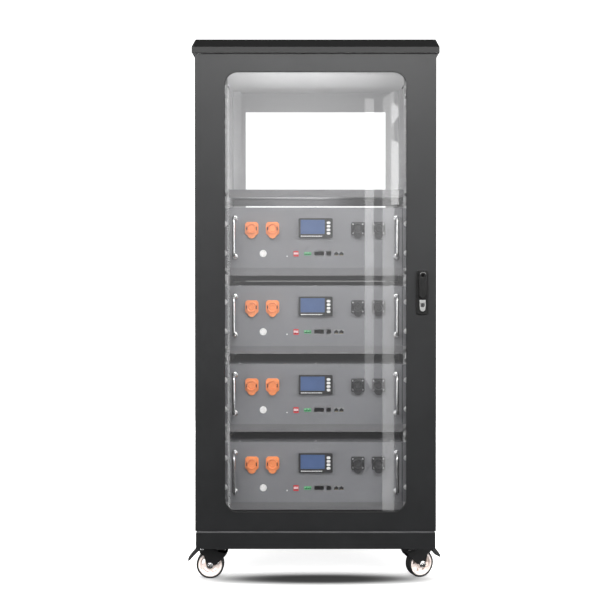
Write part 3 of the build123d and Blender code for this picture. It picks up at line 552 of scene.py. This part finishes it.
def socket_body(name, look, corner):
    """A panel socket: cornered flange, stepped barrel with a sunken face, ribbed latch tongue."""
    y = FASCIA
    a, b = 17, 17 - corner
    flange = [(-b, a), (b, a), (a, b), (a, -b), (b, -a), (-b, -a), (-a, -b), (-a, b)]
    shape = Shape().plate(flange, y - 4, y)
    pin = [(0, y - 12.5), (4, y - 12.5), (4.6, y - 13.4), (7.4, y - 13.4)]
    face = [(8, y - 11.5), (10.2, y - 11.5)]
    rim = [(10.8, y - 15.6), (11.4, y - 16), (12.4, y - 16), (13, y - 15.4)]
    barrel = [(13, y - 6), (14.2, y - 4), (0, y - 3)]
    shape.lathe(pin + face + rim + barrel)
    shape.plate([(10.5, 0), *ring(10.5, 0, -14.5, 16, 0, -180), (-10.5, 0)], y - 10.5, y)
    for z in (-17, -19.2, -21.4):
        shape.box(-5.5, 5.5, y - 11.4, y - 10.4, z - 0.5, z + 0.5)
    return shape.mesh(name, look, 30)


def sockets():
    """Two orange and two black power sockets on each module, the black ones screwed on."""
    y = FASCIA
    orange = socket_body("orange_socket", "orange", 5)
    black = socket_body("black_socket", "socket_black", 2)
    # The slits are near-black boxes at the barrel's sides, painted as the shade in its notches.
    slits = Shape()
    for side in (-1, 1):
        slits.box(side * 10.9, side * 13.3, y - 16.2, y - 12, -4.4, 4.4)
    slits = slits.mesh("socket_slits", "recess_shade")
    screws = Shape()
    for x in (-12.2, 12.2):
        for z in (-11.4, 11.4):
            screw(screws, 2.2, 1.5, y - 4, x, z)
    screws = screws.mesh("socket_screws", "zinc")
    for k, x in enumerate(POSITIVE_X, 1):
        at = (x, 0, SOCKET_Z)
        on_modules(f"orange_socket_{k}", orange, "positive_sockets", at=at, bevel=0.5)
        on_modules(f"orange_socket_slits_{k}", slits, "positive_sockets", at=at)
    for k, x in enumerate(NEGATIVE_X, 1):
        at = (x, 0, SOCKET_Z)
        on_modules(f"black_socket_{k}", black, "negative_sockets", at=at, bevel=0.5)
        on_modules(f"black_socket_slits_{k}", slits, "negative_sockets", at=at)
        on_modules(f"socket_screws_{k}", screws, "socket_screws", at=at)


def displays():
    """Display housing with a stepped screen opening, a row of light dashes and four keys."""
    y = FASCIA
    face = y - DISPLAY_DEPTH
    wide, high = SCREEN_SIZE
    keys = [rounded(10.4, 7.2, 3.55, KEY_X, z) for z in KEY_HEIGHTS]
    opening = rounded(wide - 1, high - 1, 1.2, SCREEN_X, SCREEN_Z)
    housing = Shape().plate(rounded(87, 50, 3), face, y - 3, [opening, *keys])
    housing = housing.mesh("display_housing", "black_plastic", 30)
    on_modules("display_housing", housing, "display_units", at=DISPLAY_AT, bevel=0.6)
    back = Shape().plate(rounded(86, 49, 3), y - 3.2, y).mesh("display_back", "black_plastic")
    on_modules("display_back", back, "display_units", at=DISPLAY_AT)
    pane = rounded(wide - 0.8, high - 0.8, 1, SCREEN_X, SCREEN_Z)
    pane = Shape().plate(pane, face + 0.8, y - 3).mesh("display_screen", "screen")
    on_modules("display_screen", pane, "display_screens", at=DISPLAY_AT)
    dashes = Shape()
    x = SCREEN_X - wide / 2 + 1.5
    for width in DASH_WIDTHS:
        dashes.plate(rounded(width, 2.4, 0.5, x + width / 2, DASH_Z), face - 0.15, face + 0.2)
        x += width + DASH_GAP
    dashes = dashes.mesh("display_dashes", "white")
    on_modules("display_dashes", dashes, "display_units", at=DISPLAY_AT)
    caps = Shape()
    for z in KEY_HEIGHTS:
        caps.plate(rounded(9.6, 6.4, 3.15, KEY_X, z), face - 1.2, face + 3.8)
    caps = caps.mesh("display_keys", "white", 0)
    on_modules("display_keys", caps, "keypad_{}", "keypad_{}", DISPLAY_AT, bevel=0.7)


def power_buttons():
    """Dished white cap in a white ring."""
    y = FASCIA
    dish = [(0, y - 2), (3, y - 2.05), (5.2, y - 2.35), (6, y - 2.5), (6.5, y - 2.1)]
    cap = Shape().lathe(dish + [(6.5, y + 3), (0, y + 3)]).mesh("button_cap", "white", 50)
    on_modules("button_cap", cap, "power_button_{}", "power_button_{}", BUTTON_AT)
    band = [(6.8, y), (6.8, y - 1.2), (7.3, y - 1.5), (8.3, y - 1.5), (9, y - 0.8), (9, y)]
    band = Shape().lathe(band).mesh("button_ring", "white", 40)
    on_modules("button_ring", band, "button_bezels", at=BUTTON_AT)


def address_switches():
    """Red switch block with four white sliders in dark slots."""
    y = FASCIA
    slots = [rounded(2.1, 8.4, 0.3, x, 0) for x in SLIDERS_X]
    block = Shape().plate(rounded(13, 14, 0.8), y - 1.8, y, slots)
    block = block.mesh("switch_block", "red", 30)
    on_modules("switch_block", block, "dip_switches", at=SWITCH_AT, bevel=0.25)
    base = Shape().plate(rounded(12, 12, 0.5), y - 0.5, y + 1).mesh("switch_floor", "recess_shade")
    on_modules("switch_floor", base, "dip_switches", at=SWITCH_AT)
    sliders = Shape()
    for x in SLIDERS_X:
        sliders.box(x - 0.95, x + 0.95, y - 2, y, -2, 3.4)
    sliders = sliders.mesh("switch_sliders", "white")
    on_modules("switch_sliders", sliders, "dip_switches", at=SWITCH_AT)


def terminals():
    """Green plug terminal: wire entries below and clamp screws above, set in round wells."""
    y = FASCIA
    entries = [rounded(2.8, 3, 0.2, x, WIRE_Z) for x in WIRES_X]
    wells = [ring(1.2, x, CLAMP_Z, 16) for x in WIRES_X]
    block = Shape().plate(rounded(18, 8.4, 0.5), y - 2, y - 0.2, entries + wells)
    block = block.mesh("terminal_block", "green", 30)
    on_modules("terminal_block", block, "signal_terminals", at=TERMINAL_AT, bevel=0.2)
    base = Shape().box(-8.6, 8.6, y - 0.5, y + 1, -4, 4).mesh("terminal_floor", "recess_shade")
    on_modules("terminal_floor", base, "signal_terminals", at=TERMINAL_AT)
    clamps = Shape()
    for x in WIRES_X:
        clamps.rod(1.05, y - 1.5, y, x, CLAMP_Z, 0.15, 16)
    clamps = clamps.mesh("terminal_clamps", "zinc")
    on_modules("terminal_clamps", clamps, "signal_terminals", at=TERMINAL_AT)


def mouth(x):
    """A data socket's opening, stepped at the top for the plug's latch."""
    steps = [(3, 2.2), (3, 3.6), (1.7, 3.6), (1.7, 4.9)]
    outline = [(-5.6, -4.6), (5.6, -4.6), (5.6, 2.2), *steps]
    outline += [(-px, z) for px, z in reversed(steps)] + [(-5.6, 2.2)]
    return [(x + px, z) for px, z in outline]


def data_ports():
    """Rows of two, one and two data sockets with stepped mouths and gilt contacts."""
    y = FASCIA
    housing, base, contacts = Shape(), Shape(), Shape()
    for middle, count in PORT_GROUPS:
        width = count * PORT_SIZE
        xs = [middle + (k - (count - 1) / 2) * PORT_SIZE for k in range(count)]
        outline = rounded(width, PORT_SIZE, 0.4, middle, 0)
        housing.plate(outline, y - 0.8, y + 1, [mouth(x) for x in xs])
        base.box(middle - width / 2 + 0.3, middle + width / 2 - 0.3, y + 0.2, y + 2, -6, 6)
        for x in xs:
            for k in range(8):
                cx = x + (k - 3.5) * 1.02
                contacts.box(cx - 0.2, cx + 0.2, y, y + 0.3, -4.4, -2.6)
    housing = housing.mesh("port_housing", "port")
    base = base.mesh("port_floor", "recess_shade")
    contacts = contacts.mesh("port_contacts", "gold")
    on_modules("port_housing", housing, "network_ports", at=PORTS_AT, bevel=0.2)
    on_modules("port_floor", base, "network_ports", at=PORTS_AT)
    on_modules("port_contacts", contacts, "network_ports", at=PORTS_AT)


def module_trim():
    """Ear screws, lid screws and a status light."""
    y = EAR_FACE
    ears = Shape()
    for x in EAR_SCREWS_X:
        for z in EAR_SCREWS_Z:
            screw(ears, 5.2, 3.4, y, x, z)
            ears.lathe([(3, y - 0.7), (6.6, y - 0.7), (7, y - 0.4), (7, y), (3, y)], x, z, 32)
    on_modules("ear_screws", ears.mesh("ear_screws", "bright_zinc", 30), "rack_screws")
    lid = Shape()
    for x in LID_SCREWS_X:
        screw(lid, 3.2, 1.4, 0, x, 9)
    lid = lid.mesh("lid_screws", "zinc", 30)
    on_modules("lid_screws", lid, None, at=(0, y, MODULE_HEIGHT), tilt=-90)
    y = FASCIA
    dome = [(0, y - 1.2), (0.9, y - 1.05), (1.5, y - 0.4), (1.6, y), (0, y)]
    light = Shape().lathe(dome, steps=20).mesh("status_light", "white", 60)
    on_modules("status_light", light, None, at=LIGHT_AT)


# The door's handle and the closing pieces ----------------------------------

PLATE_Z = 732
LEVER_HALF = 9
LEVER_BOTTOM, LEVER_TOP = 726, 784
NOTCH_X, NOTCH_BOTTOM = 3.5, 770
HIGHLIGHT_ARC_Z = 774
SHIELD_TOP, SHIELD_BOTTOM = 713.5, 691.2
CEILING_HALF, CEILING_DROP, SHEET = 254.5, 7, 1.5
SEAL_HALF, SEAL_REACH, SEAL_WIDTH = 285, 585, 7
STRIP_X, STRIP_Z = (283.9, 285.6), (164, 1291)
HIGHLIGHT_STRIP_SIZE = (590, 4)


def swing_handle():
    """Plate, hinged lever with a satin arc on its face as a painted highlight of its rounded top,
    and lock shield with its plug.
    """
    x, y = HANDLE_X, DOOR_FACE
    holes = [ring(6.6, x, HUB_Z, 32), ring(5.6, x, LOCK_Z, 32)]
    plate = Shape().plate(rounded(31, 110, 7, x, PLATE_Z), y - 5, y, holes)
    plate = plate.mesh("handle_plate", "handle", 30)
    add("handle_back_plate", plate, "door", bevel=1.3, replaces=["handle_plate"])
    fork = [(LEVER_HALF, LEVER_TOP - 5), (LEVER_HALF - 2, LEVER_TOP - 1)]
    fork += [(NOTCH_X, LEVER_TOP), (NOTCH_X, NOTCH_BOTTOM)]
    lever = ring(LEVER_HALF, x, LEVER_BOTTOM, 16, 180, 180)
    lever += [(x + px, pz) for px, pz in fork] + [(x - px, pz) for px, pz in reversed(fork)]
    lever = Shape().plate(lever, y - 18.5, y - 8).mesh("handle_lever", "handle", 30)
    add("lever_grip", lever, "handle_lever", bevel=1.8, replaces=["handle_lever"])
    # Painted highlight: a satin arc on the lever's face stands in for the light on its rounded top.
    outer, inner = (ring(radius, x, HIGHLIGHT_ARC_Z, 16, 25, 130) for radius in (8.3, 7.2))
    highlight_arc = Shape().plate([*outer, *reversed(inner)], y - 19, y - 18.3)
    add("lever_highlight_arc", highlight_arc.mesh("lever_highlight_arc", "satin", 30), "handle_lever", bevel=0.2)
    shield = [(x - 7.4, SHIELD_TOP), (x - 7.6, LOCK_Z), *ring(6.7, x, SHIELD_BOTTOM, 16, 180, 180)]
    shield += [(x + 7.6, LOCK_Z), (x + 7.4, SHIELD_TOP)]
    shield = Shape().plate(shield, y - 11.5, y - 5, [ring(5.4, x, LOCK_Z, 32)])
    shield = shield.mesh("lock_shield", "satin", 30)
    add("lock_shield", shield, "door", bevel=1.2, replaces=["lock_shield"])
    slot = rounded(1.6, 6, 0.7, x, LOCK_Z)
    plug = Shape().plate(ring(5, x, LOCK_Z, 32), y - 11.8, y - 9, [slot])
    plug = plug.rod(4.9, y - 9, y, x, LOCK_Z).mesh("lock_plug", "gunmetal", 30)
    add("lock_plug", plug, "lock_plug", bevel=0.25, replaces=["lock_plug"])
    keyhole = Shape().plate(rounded(1.5, 5.9, 0.7, x, LOCK_Z), y - 9.3, y - 8.9)
    keyhole = keyhole.mesh("keyhole", "recess_shade")
    add("keyhole_shadow", keyhole, "lock_plug", replaces=["lock_plug"])


def ceiling():
    """A pale sheet that closes the bay below the cover, between the upper beams; its pale paint is
    painted light, standing in for the lit ceiling of the bay.
    """
    low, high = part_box("rear_frame")
    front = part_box("front_frame")[1].y / MM
    top = high.z / MM - CEILING_DROP
    sheet = Shape().box(
        -CEILING_HALF, CEILING_HALF, front + 1, low.y / MM - 1, top - SHEET, top
    )
    add("ceiling_sheet", sheet.mesh("ceiling_sheet", "inside"), "cabinet", bevel=0.3)


def seals():
    """Rubber profiles: one round the door's seat, and one behind each side panel's rear joint."""
    low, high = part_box("front_frame")
    middle, y = (low.z + high.z) / 2 / MM, low.y / MM
    outer, inner = (
        rounded(2 * (SEAL_HALF - inset), 2 * (SEAL_REACH - inset), radius, 0, middle)
        for inset, radius in ((0, 6), (SEAL_WIDTH, 4))
    )
    seal = Shape().plate(outer, y - 5.6, y - 0.1, [inner])
    add("door_seal", seal.mesh("door_seal", "rubber"), "cabinet", bevel=1.0)
    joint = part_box("rear_frame")[0].y / MM
    near, far = STRIP_X
    strips = Shape()
    for side in (-1, 1):
        strips.box(side * near, side * far, joint - 12, joint + 14, *STRIP_Z)
    add("panel_seals", strips.mesh("panel_seals", "rubber"), "cabinet")


def seams():
    """A grey strip on the plinth under the door, painted as the highlight on the plinth's top edge,
    and near-black strips painted as the shade in the gap beside each front plate.
    """
    low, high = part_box("base_frame")
    middle, top = (low.x + high.x) / 2 / MM, high.z / MM
    # Painted highlight: this grey strip stands in for the light on the plinth's top edge.
    edge_highlight_strip = rounded(*HIGHLIGHT_STRIP_SIZE, 1.6, middle, top + 2)
    edge_highlight_strip = Shape().plate(edge_highlight_strip, DOOR_FACE + 0.6, DOOR_FACE + 7)
    add("plinth_highlight_strip", edge_highlight_strip.mesh("plinth_highlight_strip", "edge_highlight_strip", 30), "cabinet", bevel=0.8)
    # Painted shade: near-black strips on the ears stand in for the shadow in the gap beside each
    # front plate.
    gap_shade = Shape()
    for side in (-1, 1):
        gap_shade.box(side * 221.1, side * 222.6, EAR_FACE - 0.15, EAR_FACE + 0.2, 1, MODULE_HEIGHT - 1)
    on_modules("plate_gap_shade", gap_shade.mesh("plate_gap_shade", "recess_shade"), None)


# The casters --------------------------------------------------------------

AXLE_X, AXLE_Z = WHEEL_AT
FORK_HALF = 17.5
LEG_INNER = 14.5


def fork_meshes():
    """Pressed fork: hood over the wheel, V-shaped legs that end round the axle, swivel crown."""
    hood = [(-18, 83.5), (38.5, 83.5), *ring(40.5, AXLE_X, AXLE_Z, 16, 75, 50)]
    hood += [(-14, 65), (-18, 72)]
    shape = Shape().plate(hood, -FORK_HALF, FORK_HALF)
    leg = [(-18, 83.5), (52, 83.5), (54, 81), (54, 68), (51, 62.5), (44, 60.5), (41, 54)]
    leg += ring(8.6, AXLE_X, AXLE_Z, 14, 5, -190)
    leg += [(12, 37), (2, 47), (-12, 60), (-18, 71)]
    for y0 in (-FORK_HALF, LEG_INNER):
        shape.plate(leg, y0, y0 + FORK_HALF - LEG_INNER)
    fork = shape.mesh("caster_fork", "fork", 30)
    crown = [(0, -83.4), (17, -83.4), (21, -81.5), (22, -79), (22, -76.5), (20, -75), (0, -75)]
    return fork, Shape().lathe(crown).mesh("caster_crown", "fork", 30)


def axle_mesh():
    """Domed nuts on a washer at both ends of the axle."""
    shape = Shape()
    for side in (-1, 1):
        y = side * FORK_HALF
        shape.rod(7.8, y, y + side, AXLE_X, AXLE_Z, 0.2)
        shape.plate(ring(7, AXLE_X, AXLE_Z, 6), y + side, y + side * 4.6)
        dome = [(4.2, y), (4.2, y + side * 5), (3.4, y + side * 5.8), (0, y + side * 6)]
        shape.lathe(dome, AXLE_X, AXLE_Z, 24)
    return shape.mesh("caster_axle", "chrome", 30)


def wheel_meshes():
    """Black tread round a nylon rim with a slotted web."""
    half = 10.5
    tread = [(30.4, -half), (30.6, -11.7), (31.2, -12), (32.6, -12), (34.2, -11), (35, -9)]
    tread += [(35, -2.6), (34.4, -2.2), (34.4, -1.4), (35, -1)]
    tread += [(radius, -y) for radius, y in reversed(tread)]
    tyre = Shape().lathe(tread, AXLE_X, AXLE_Z, 72).mesh("caster_tyre", "rubber", 30)
    shape = Shape()
    band = [(24, -7), (24.8, -9.8), (25.6, -half), (29.6, -half), (30.4, -9.8)]
    band += [(radius, -y) for radius, y in reversed(band)]
    shape.lathe(band + band[:1], AXLE_X, AXLE_Z, 72)
    hub = [(4.1, -13.9), (8, -13.9), (9.6, -12.6), (11, -4)]
    hub += [(radius, -y) for radius, y in reversed(hub)]
    shape.lathe(hub + hub[:1], AXLE_X, AXLE_Z, 48)
    slots = []
    for k in range(5):
        middle = 90 + 72 * k
        outer = ring(21.6, AXLE_X, AXLE_Z, 8, middle - 22, 44)
        slots.append(outer + ring(15.6, AXLE_X, AXLE_Z, 8, middle + 19, -38))
    web = ring(24.6, AXLE_X, AXLE_Z, 72)
    shape.plate(web, -5, 5, [*slots, ring(9.4, AXLE_X, AXLE_Z, 36)])
    return tyre, shape.mesh("caster_rim", "rim", 30)


def pedal_mesh():
    """Foot pedal with a ribbed tread, its hub and the brake shoe."""
    outline = [(49, 80.5), (62, 77), (73, 65), (84, 51), (84, 44)]
    outline += [(80, 46), (69, 58), (58, 69), (49, 72)]
    shape = Shape().plate(outline, -11, 11)
    x, z = PEDAL_PIN
    shape.rod(5, -13.8, 13.8, x, z, 0.5)
    shape.box(44.5, 49.3, -9, 9, 68.4, z)
    shape.rod(2.5, -9, 9, 46.9, 68.4)
    for px, pz in ((66.5, 72.2), (70, 68.3), (73.4, 64.6), (76.8, 60.3), (80.2, 55.9)):
        shape.rod(0.9, -9.5, 9.5, px, pz, 0.2, 12)
    return shape.mesh("brake_pedal", "black_plastic", 30)


def rivet_mesh():
    """Bright rivets on the fork's cheeks."""
    shape = Shape()
    for side in (-1, 1):
        y = side * FORK_HALF
        for x, z, radius in ((*PEDAL_PIN, 4.2), (8, 77, 2.6), (-10, 76, 2.6)):
            dome = [(radius, y), (radius, y + side * 0.5), (radius * 0.7, y + side * 1.1)]
            shape.lathe([*dome, (0, y + side * 1.4)], x, z, 24)
    return shape.mesh("fork_rivets", "chrome", 40)


def casters():
    """Four swivel casters; the front pair has brake pedals."""
    fork, crown = fork_meshes()
    tyre, rim = wheel_meshes()
    axle, rivets, pedal = axle_mesh(), rivet_mesh(), pedal_mesh()
    for name, (x, y, yaw) in CASTERS.items():
        at, body = (x, y, 0), f"fork_{name}"
        add(f"fork_cheeks_{name}", fork, body, at, yaw, bevel=0.9, replaces=[body])
        add(f"fork_crown_{name}", crown, body, at, yaw, tilt=-90, replaces=[body])
        add(f"axle_{name}", axle, body, at, yaw, bevel=0.4, replaces=[body])
        add(f"rivets_{name}", rivets, body, at, yaw, replaces=[body])
        braked = name.startswith("front")
        rim_node = f"rim_{name}" if braked else f"wheel_{name}"
        tyre_node = f"tyre_{name}" if braked else f"wheel_{name}"
        add(f"caster_tyre_{name}", tyre, f"wheel_{name}", at, yaw, replaces=[tyre_node])
        add(f"caster_rim_{name}", rim, f"wheel_{name}", at, yaw, bevel=0.4, replaces=[rim_node])
        if braked:
            node = f"brake_pedal_{name}"
            add(f"foot_pedal_{name}", pedal, f"pedal_{name}", at, yaw, bevel=0.8, replaces=[node])


# The CAD's own pieces that stay --------------------------------------------


def finish_sheet_metal():
    """Paint, plating, rubber and glass for the CAD's own pieces."""
    paint("cabinet", "base_frame", "door_frame", bevel=1.2)
    paint("cabinet", "front_frame", "left_side_panel", "right_side_panel", bevel=0.8)
    paint("rear", "rear_frame", bevel=0.8)
    paint("cover", "top_cover", bevel=1.4)
    paint("rack", "shelves", bevel=0.5)
    paint("inside", "mounting_rails", "depth_beams", bevel=0.5)
    paint("module", *(f"module_case_{n}" for n in (1, 2, 3, 4)), bevel=0.4)
    paint("module", "module_lids", "front_panels", bevel=0.5)
    paint("zinc", "hinge_pins", "latch_cam", bevel=0.4)
    paint("fork", "caster_plates", bevel=0.6)
    paint("handle", "handle_hub", bevel=0.4)
    paint("rubber", "window_gasket", "glass_clamps", bevel=0.2)
    paint("glass", "door_glass")
    paint("cell", "cell_packs", bevel=1.0)
    paint("board", "bms_boards")


# The studio ---------------------------------------------------------------

FLOOR_HALF = 12
# Centre and reach of the painted shadow on the floor.
PAINTED_SHADOW_AT, PAINTED_SHADOW_REACH = (0.012, -0.240, 0), (0.52, 0.08, 1)
FRONT_Y, NEAR_Y = -2.9, -2.88

# Reflectors before the door: Y, the corners' X and Z, and the glow at 0.25 m and at 0.95 m
REFLECTORS = {
    "narrow_strip": (
        FRONT_Y, ((0.25, 0.2), (0.296, 0.12), (0.296, 1.62), (0.25, 1.62)), (1.5, 3.6)
    ),
    "rail_strip_low": (
        NEAR_Y, ((0.383, 1.08), (0.42, 1.08), (0.42, 1.39), (0.383, 1.41)), (6.5, 6.5)
    ),
    "rail_strip_high": (
        NEAR_Y, ((0.383, 1.476), (0.42, 1.53), (0.42, 1.575), (0.383, 1.6)), (6.5, 6.5)
    ),
    "edge_strip": (
        FRONT_Y, ((-0.446, -0.55), (-0.436, -0.55), (-0.439, 1.69), (-0.449, 1.69)), (3.6, 3.6)
    ),
    "wide_strip": (
        FRONT_Y, ((0.34, -0.6), (0.40, -0.7), (0.40, 1.66), (0.34, 1.62)), (2.2, 3.0)
    ),
}


def world():
    """White to the camera; to the object a ceiling glow that fades below the horizon."""
    sky = bpy.data.worlds.new("studio")
    bpy.context.scene.world = sky
    sky.use_nodes = True
    nodes, links = sky.node_tree.nodes, sky.node_tree.links
    nodes.clear()
    coords = nodes.new("ShaderNodeTexCoord")
    split = nodes.new("ShaderNodeSeparateXYZ")
    links.new(coords.outputs["Generated"], split.inputs["Vector"])
    stops = ((0.0, 0.04), (0.42, 0.06), (0.5, 0.5), (0.62, 1.08), (1.0, 1.0))
    ramp = grey_ramp(nodes, stops)
    ramp.color_ramp.interpolation = "EASE"
    lift = nodes.new("ShaderNodeMapRange")
    lift.inputs["From Min"].default_value = -1
    links.new(split.outputs["Z"], lift.inputs["Value"])
    links.new(lift.outputs["Result"], ramp.inputs["Fac"])
    lit, plain = nodes.new("ShaderNodeBackground"), nodes.new("ShaderNodeBackground")
    lit.inputs["Strength"].default_value = 1.25
    links.new(ramp.outputs["Color"], lit.inputs["Color"])
    plain.inputs["Color"].default_value = (1, 1, 1, 1)
    plain.inputs["Strength"].default_value = 1.4
    path, mix = nodes.new("ShaderNodeLightPath"), nodes.new("ShaderNodeMixShader")
    out = nodes.new("ShaderNodeOutputWorld")
    links.new(path.outputs["Is Camera Ray"], mix.inputs["Fac"])
    links.new(lit.outputs["Background"], mix.inputs[1])
    links.new(plain.outputs["Background"], mix.inputs[2])
    links.new(mix.outputs["Shader"], out.inputs["Surface"])


def area_light(name, at, aim, width, height, power):
    """A soft rectangular light at a place in metres, aimed at another."""
    lamp = bpy.data.lights.new(name, "AREA")
    lamp.shape = "RECTANGLE"
    lamp.size, lamp.size_y, lamp.energy = width, height, power
    light = bpy.data.objects.new(name, lamp)
    bpy.context.scene.collection.objects.link(light)
    light.location = at
    light.rotation_euler = (Vector(aim) - Vector(at)).to_track_quat("-Z", "Y").to_euler()
    return light


def glow(name, low, high):
    """An emitting material for the studio's reflectors, fading towards its lower end."""
    look = Look(name, (0, 0, 0), 1.0)
    look.shader.inputs["Emission Color"].default_value = (1, 1, 1, 1)
    strength = look.spread(look.height(0.25, 0.95), low, high, 0, 1)
    look.links.new(strength, look.shader.inputs["Emission Strength"])
    return look.material


def reflector(name, corners, low, high):
    """A bright upright panel in front of the door, unseen by the camera."""
    mesh = bpy.data.meshes.new(name)
    mesh.from_pydata(corners, [], [tuple(range(len(corners)))])
    mesh.materials.append(glow(name, low, high))
    panel = bpy.data.objects.new(name, mesh)
    bpy.context.scene.collection.objects.link(panel)
    panel.visible_camera = False
    panel.visible_diffuse = False
    panel.visible_shadow = False


def floor():
    """A white studio floor that glows to stay evenly white, with a painted soft shadow under the
    front edge, where the glow fades.
    """
    mesh = bpy.data.meshes.new("floor")
    signs = ((-1, -1), (1, -1), (1, 1), (-1, 1))
    mesh.from_pydata([(FLOOR_HALF * a, FLOOR_HALF * b, 0) for a, b in signs], [], [(0, 1, 2, 3)])
    look = Look("studio_floor", (0.9, 0.9, 0.9), 0.9)
    coords = look.nodes.new("ShaderNodeTexCoord")
    mapping = look.nodes.new("ShaderNodeMapping")
    mapping.vector_type = "TEXTURE"
    mapping.inputs["Location"].default_value = PAINTED_SHADOW_AT
    mapping.inputs["Scale"].default_value = PAINTED_SHADOW_REACH
    look.links.new(coords.outputs["Object"], mapping.inputs["Vector"])
    painted_shadow = look.nodes.new("ShaderNodeTexGradient")
    painted_shadow.gradient_type = "SPHERICAL"
    look.links.new(mapping.outputs["Vector"], painted_shadow.inputs["Vector"])
    # Painted shadow: darker, and no longer glowing, towards the middle of the ellipse.
    shadow_amount = look.spread(painted_shadow.outputs["Fac"], 0, 1, 0, 0.8, "SMOOTHSTEP")
    look.colour(shadow_amount, (0.9, 0.9, 0.9), (0.025, 0.025, 0.025), 0, 1)
    look.shader.inputs["Emission Color"].default_value = (1, 1, 1, 1)
    look.links.new(look.spread(shadow_amount, 0.75, 0.0, 0, 0.9), look.shader.inputs["Emission Strength"])
    mesh.materials.append(look.material)
    ground = bpy.data.objects.new("floor", mesh)
    bpy.context.scene.collection.objects.link(ground)
    ground.visible_glossy = False
    ground.visible_diffuse = False


def camera():
    """A long lens level with the middle of the door."""
    lens = bpy.data.cameras.new("camera")
    lens.lens = 60.35
    lens.sensor_width = 36
    lens.shift_x = -0.026
    lens.shift_y = -0.062
    eye = bpy.data.objects.new("camera", lens)
    bpy.context.scene.collection.objects.link(eye)
    eye.location = (0, -2.795, 0.8235)
    eye.rotation_euler = (math.radians(90 - 0.417), 0, 0)
    bpy.context.scene.camera = eye


def studio():
    """Camera, floor and lights."""
    camera()
    floor()
    world()
    area_light("front_softbox", (0.4, -3.6, 3.0), (0, 0, 0.7), 3.0, 2.0, 110)
    for side in (-1, 1):
        area_light(f"side_softbox_{side + 2}", (2.6 * side, -2.6, 1.0), (0, 0, 0.8), 1.4, 2.4, 55)
    area_light("top_softbox", (0, 0.3, 3.6), (0, 0, 1.2), 2.5, 2.5, 60)
    for name, at, power in (("bay_front", (0, -2.1, 1.7), 32), ("bay_back", (0, 2.4, 0.5), 45)):
        area_light(name, at, (0, 0, 1.2), 2.0, 0.6, power).visible_glossy = False
    at, aim = (-0.06, -0.02, 1.0), (-0.09, 0.1, 1.35)
    inner = area_light("bay_inner", at, aim, 0.28, 0.36, 2.9)
    inner.visible_glossy = inner.visible_camera = False
    for name, (y, outline, (low, high)) in REFLECTORS.items():
        reflector(name, [(x, y, z) for x, z in outline], low, high)
    bpy.context.scene.view_settings.view_transform = "Standard"


finish_sheet_metal()
pull_handles()
sockets()
displays()
power_buttons()
address_switches()
terminals()
data_ports()
module_trim()
swing_handle()
ceiling()
seals()
seams()
casters()
studio()
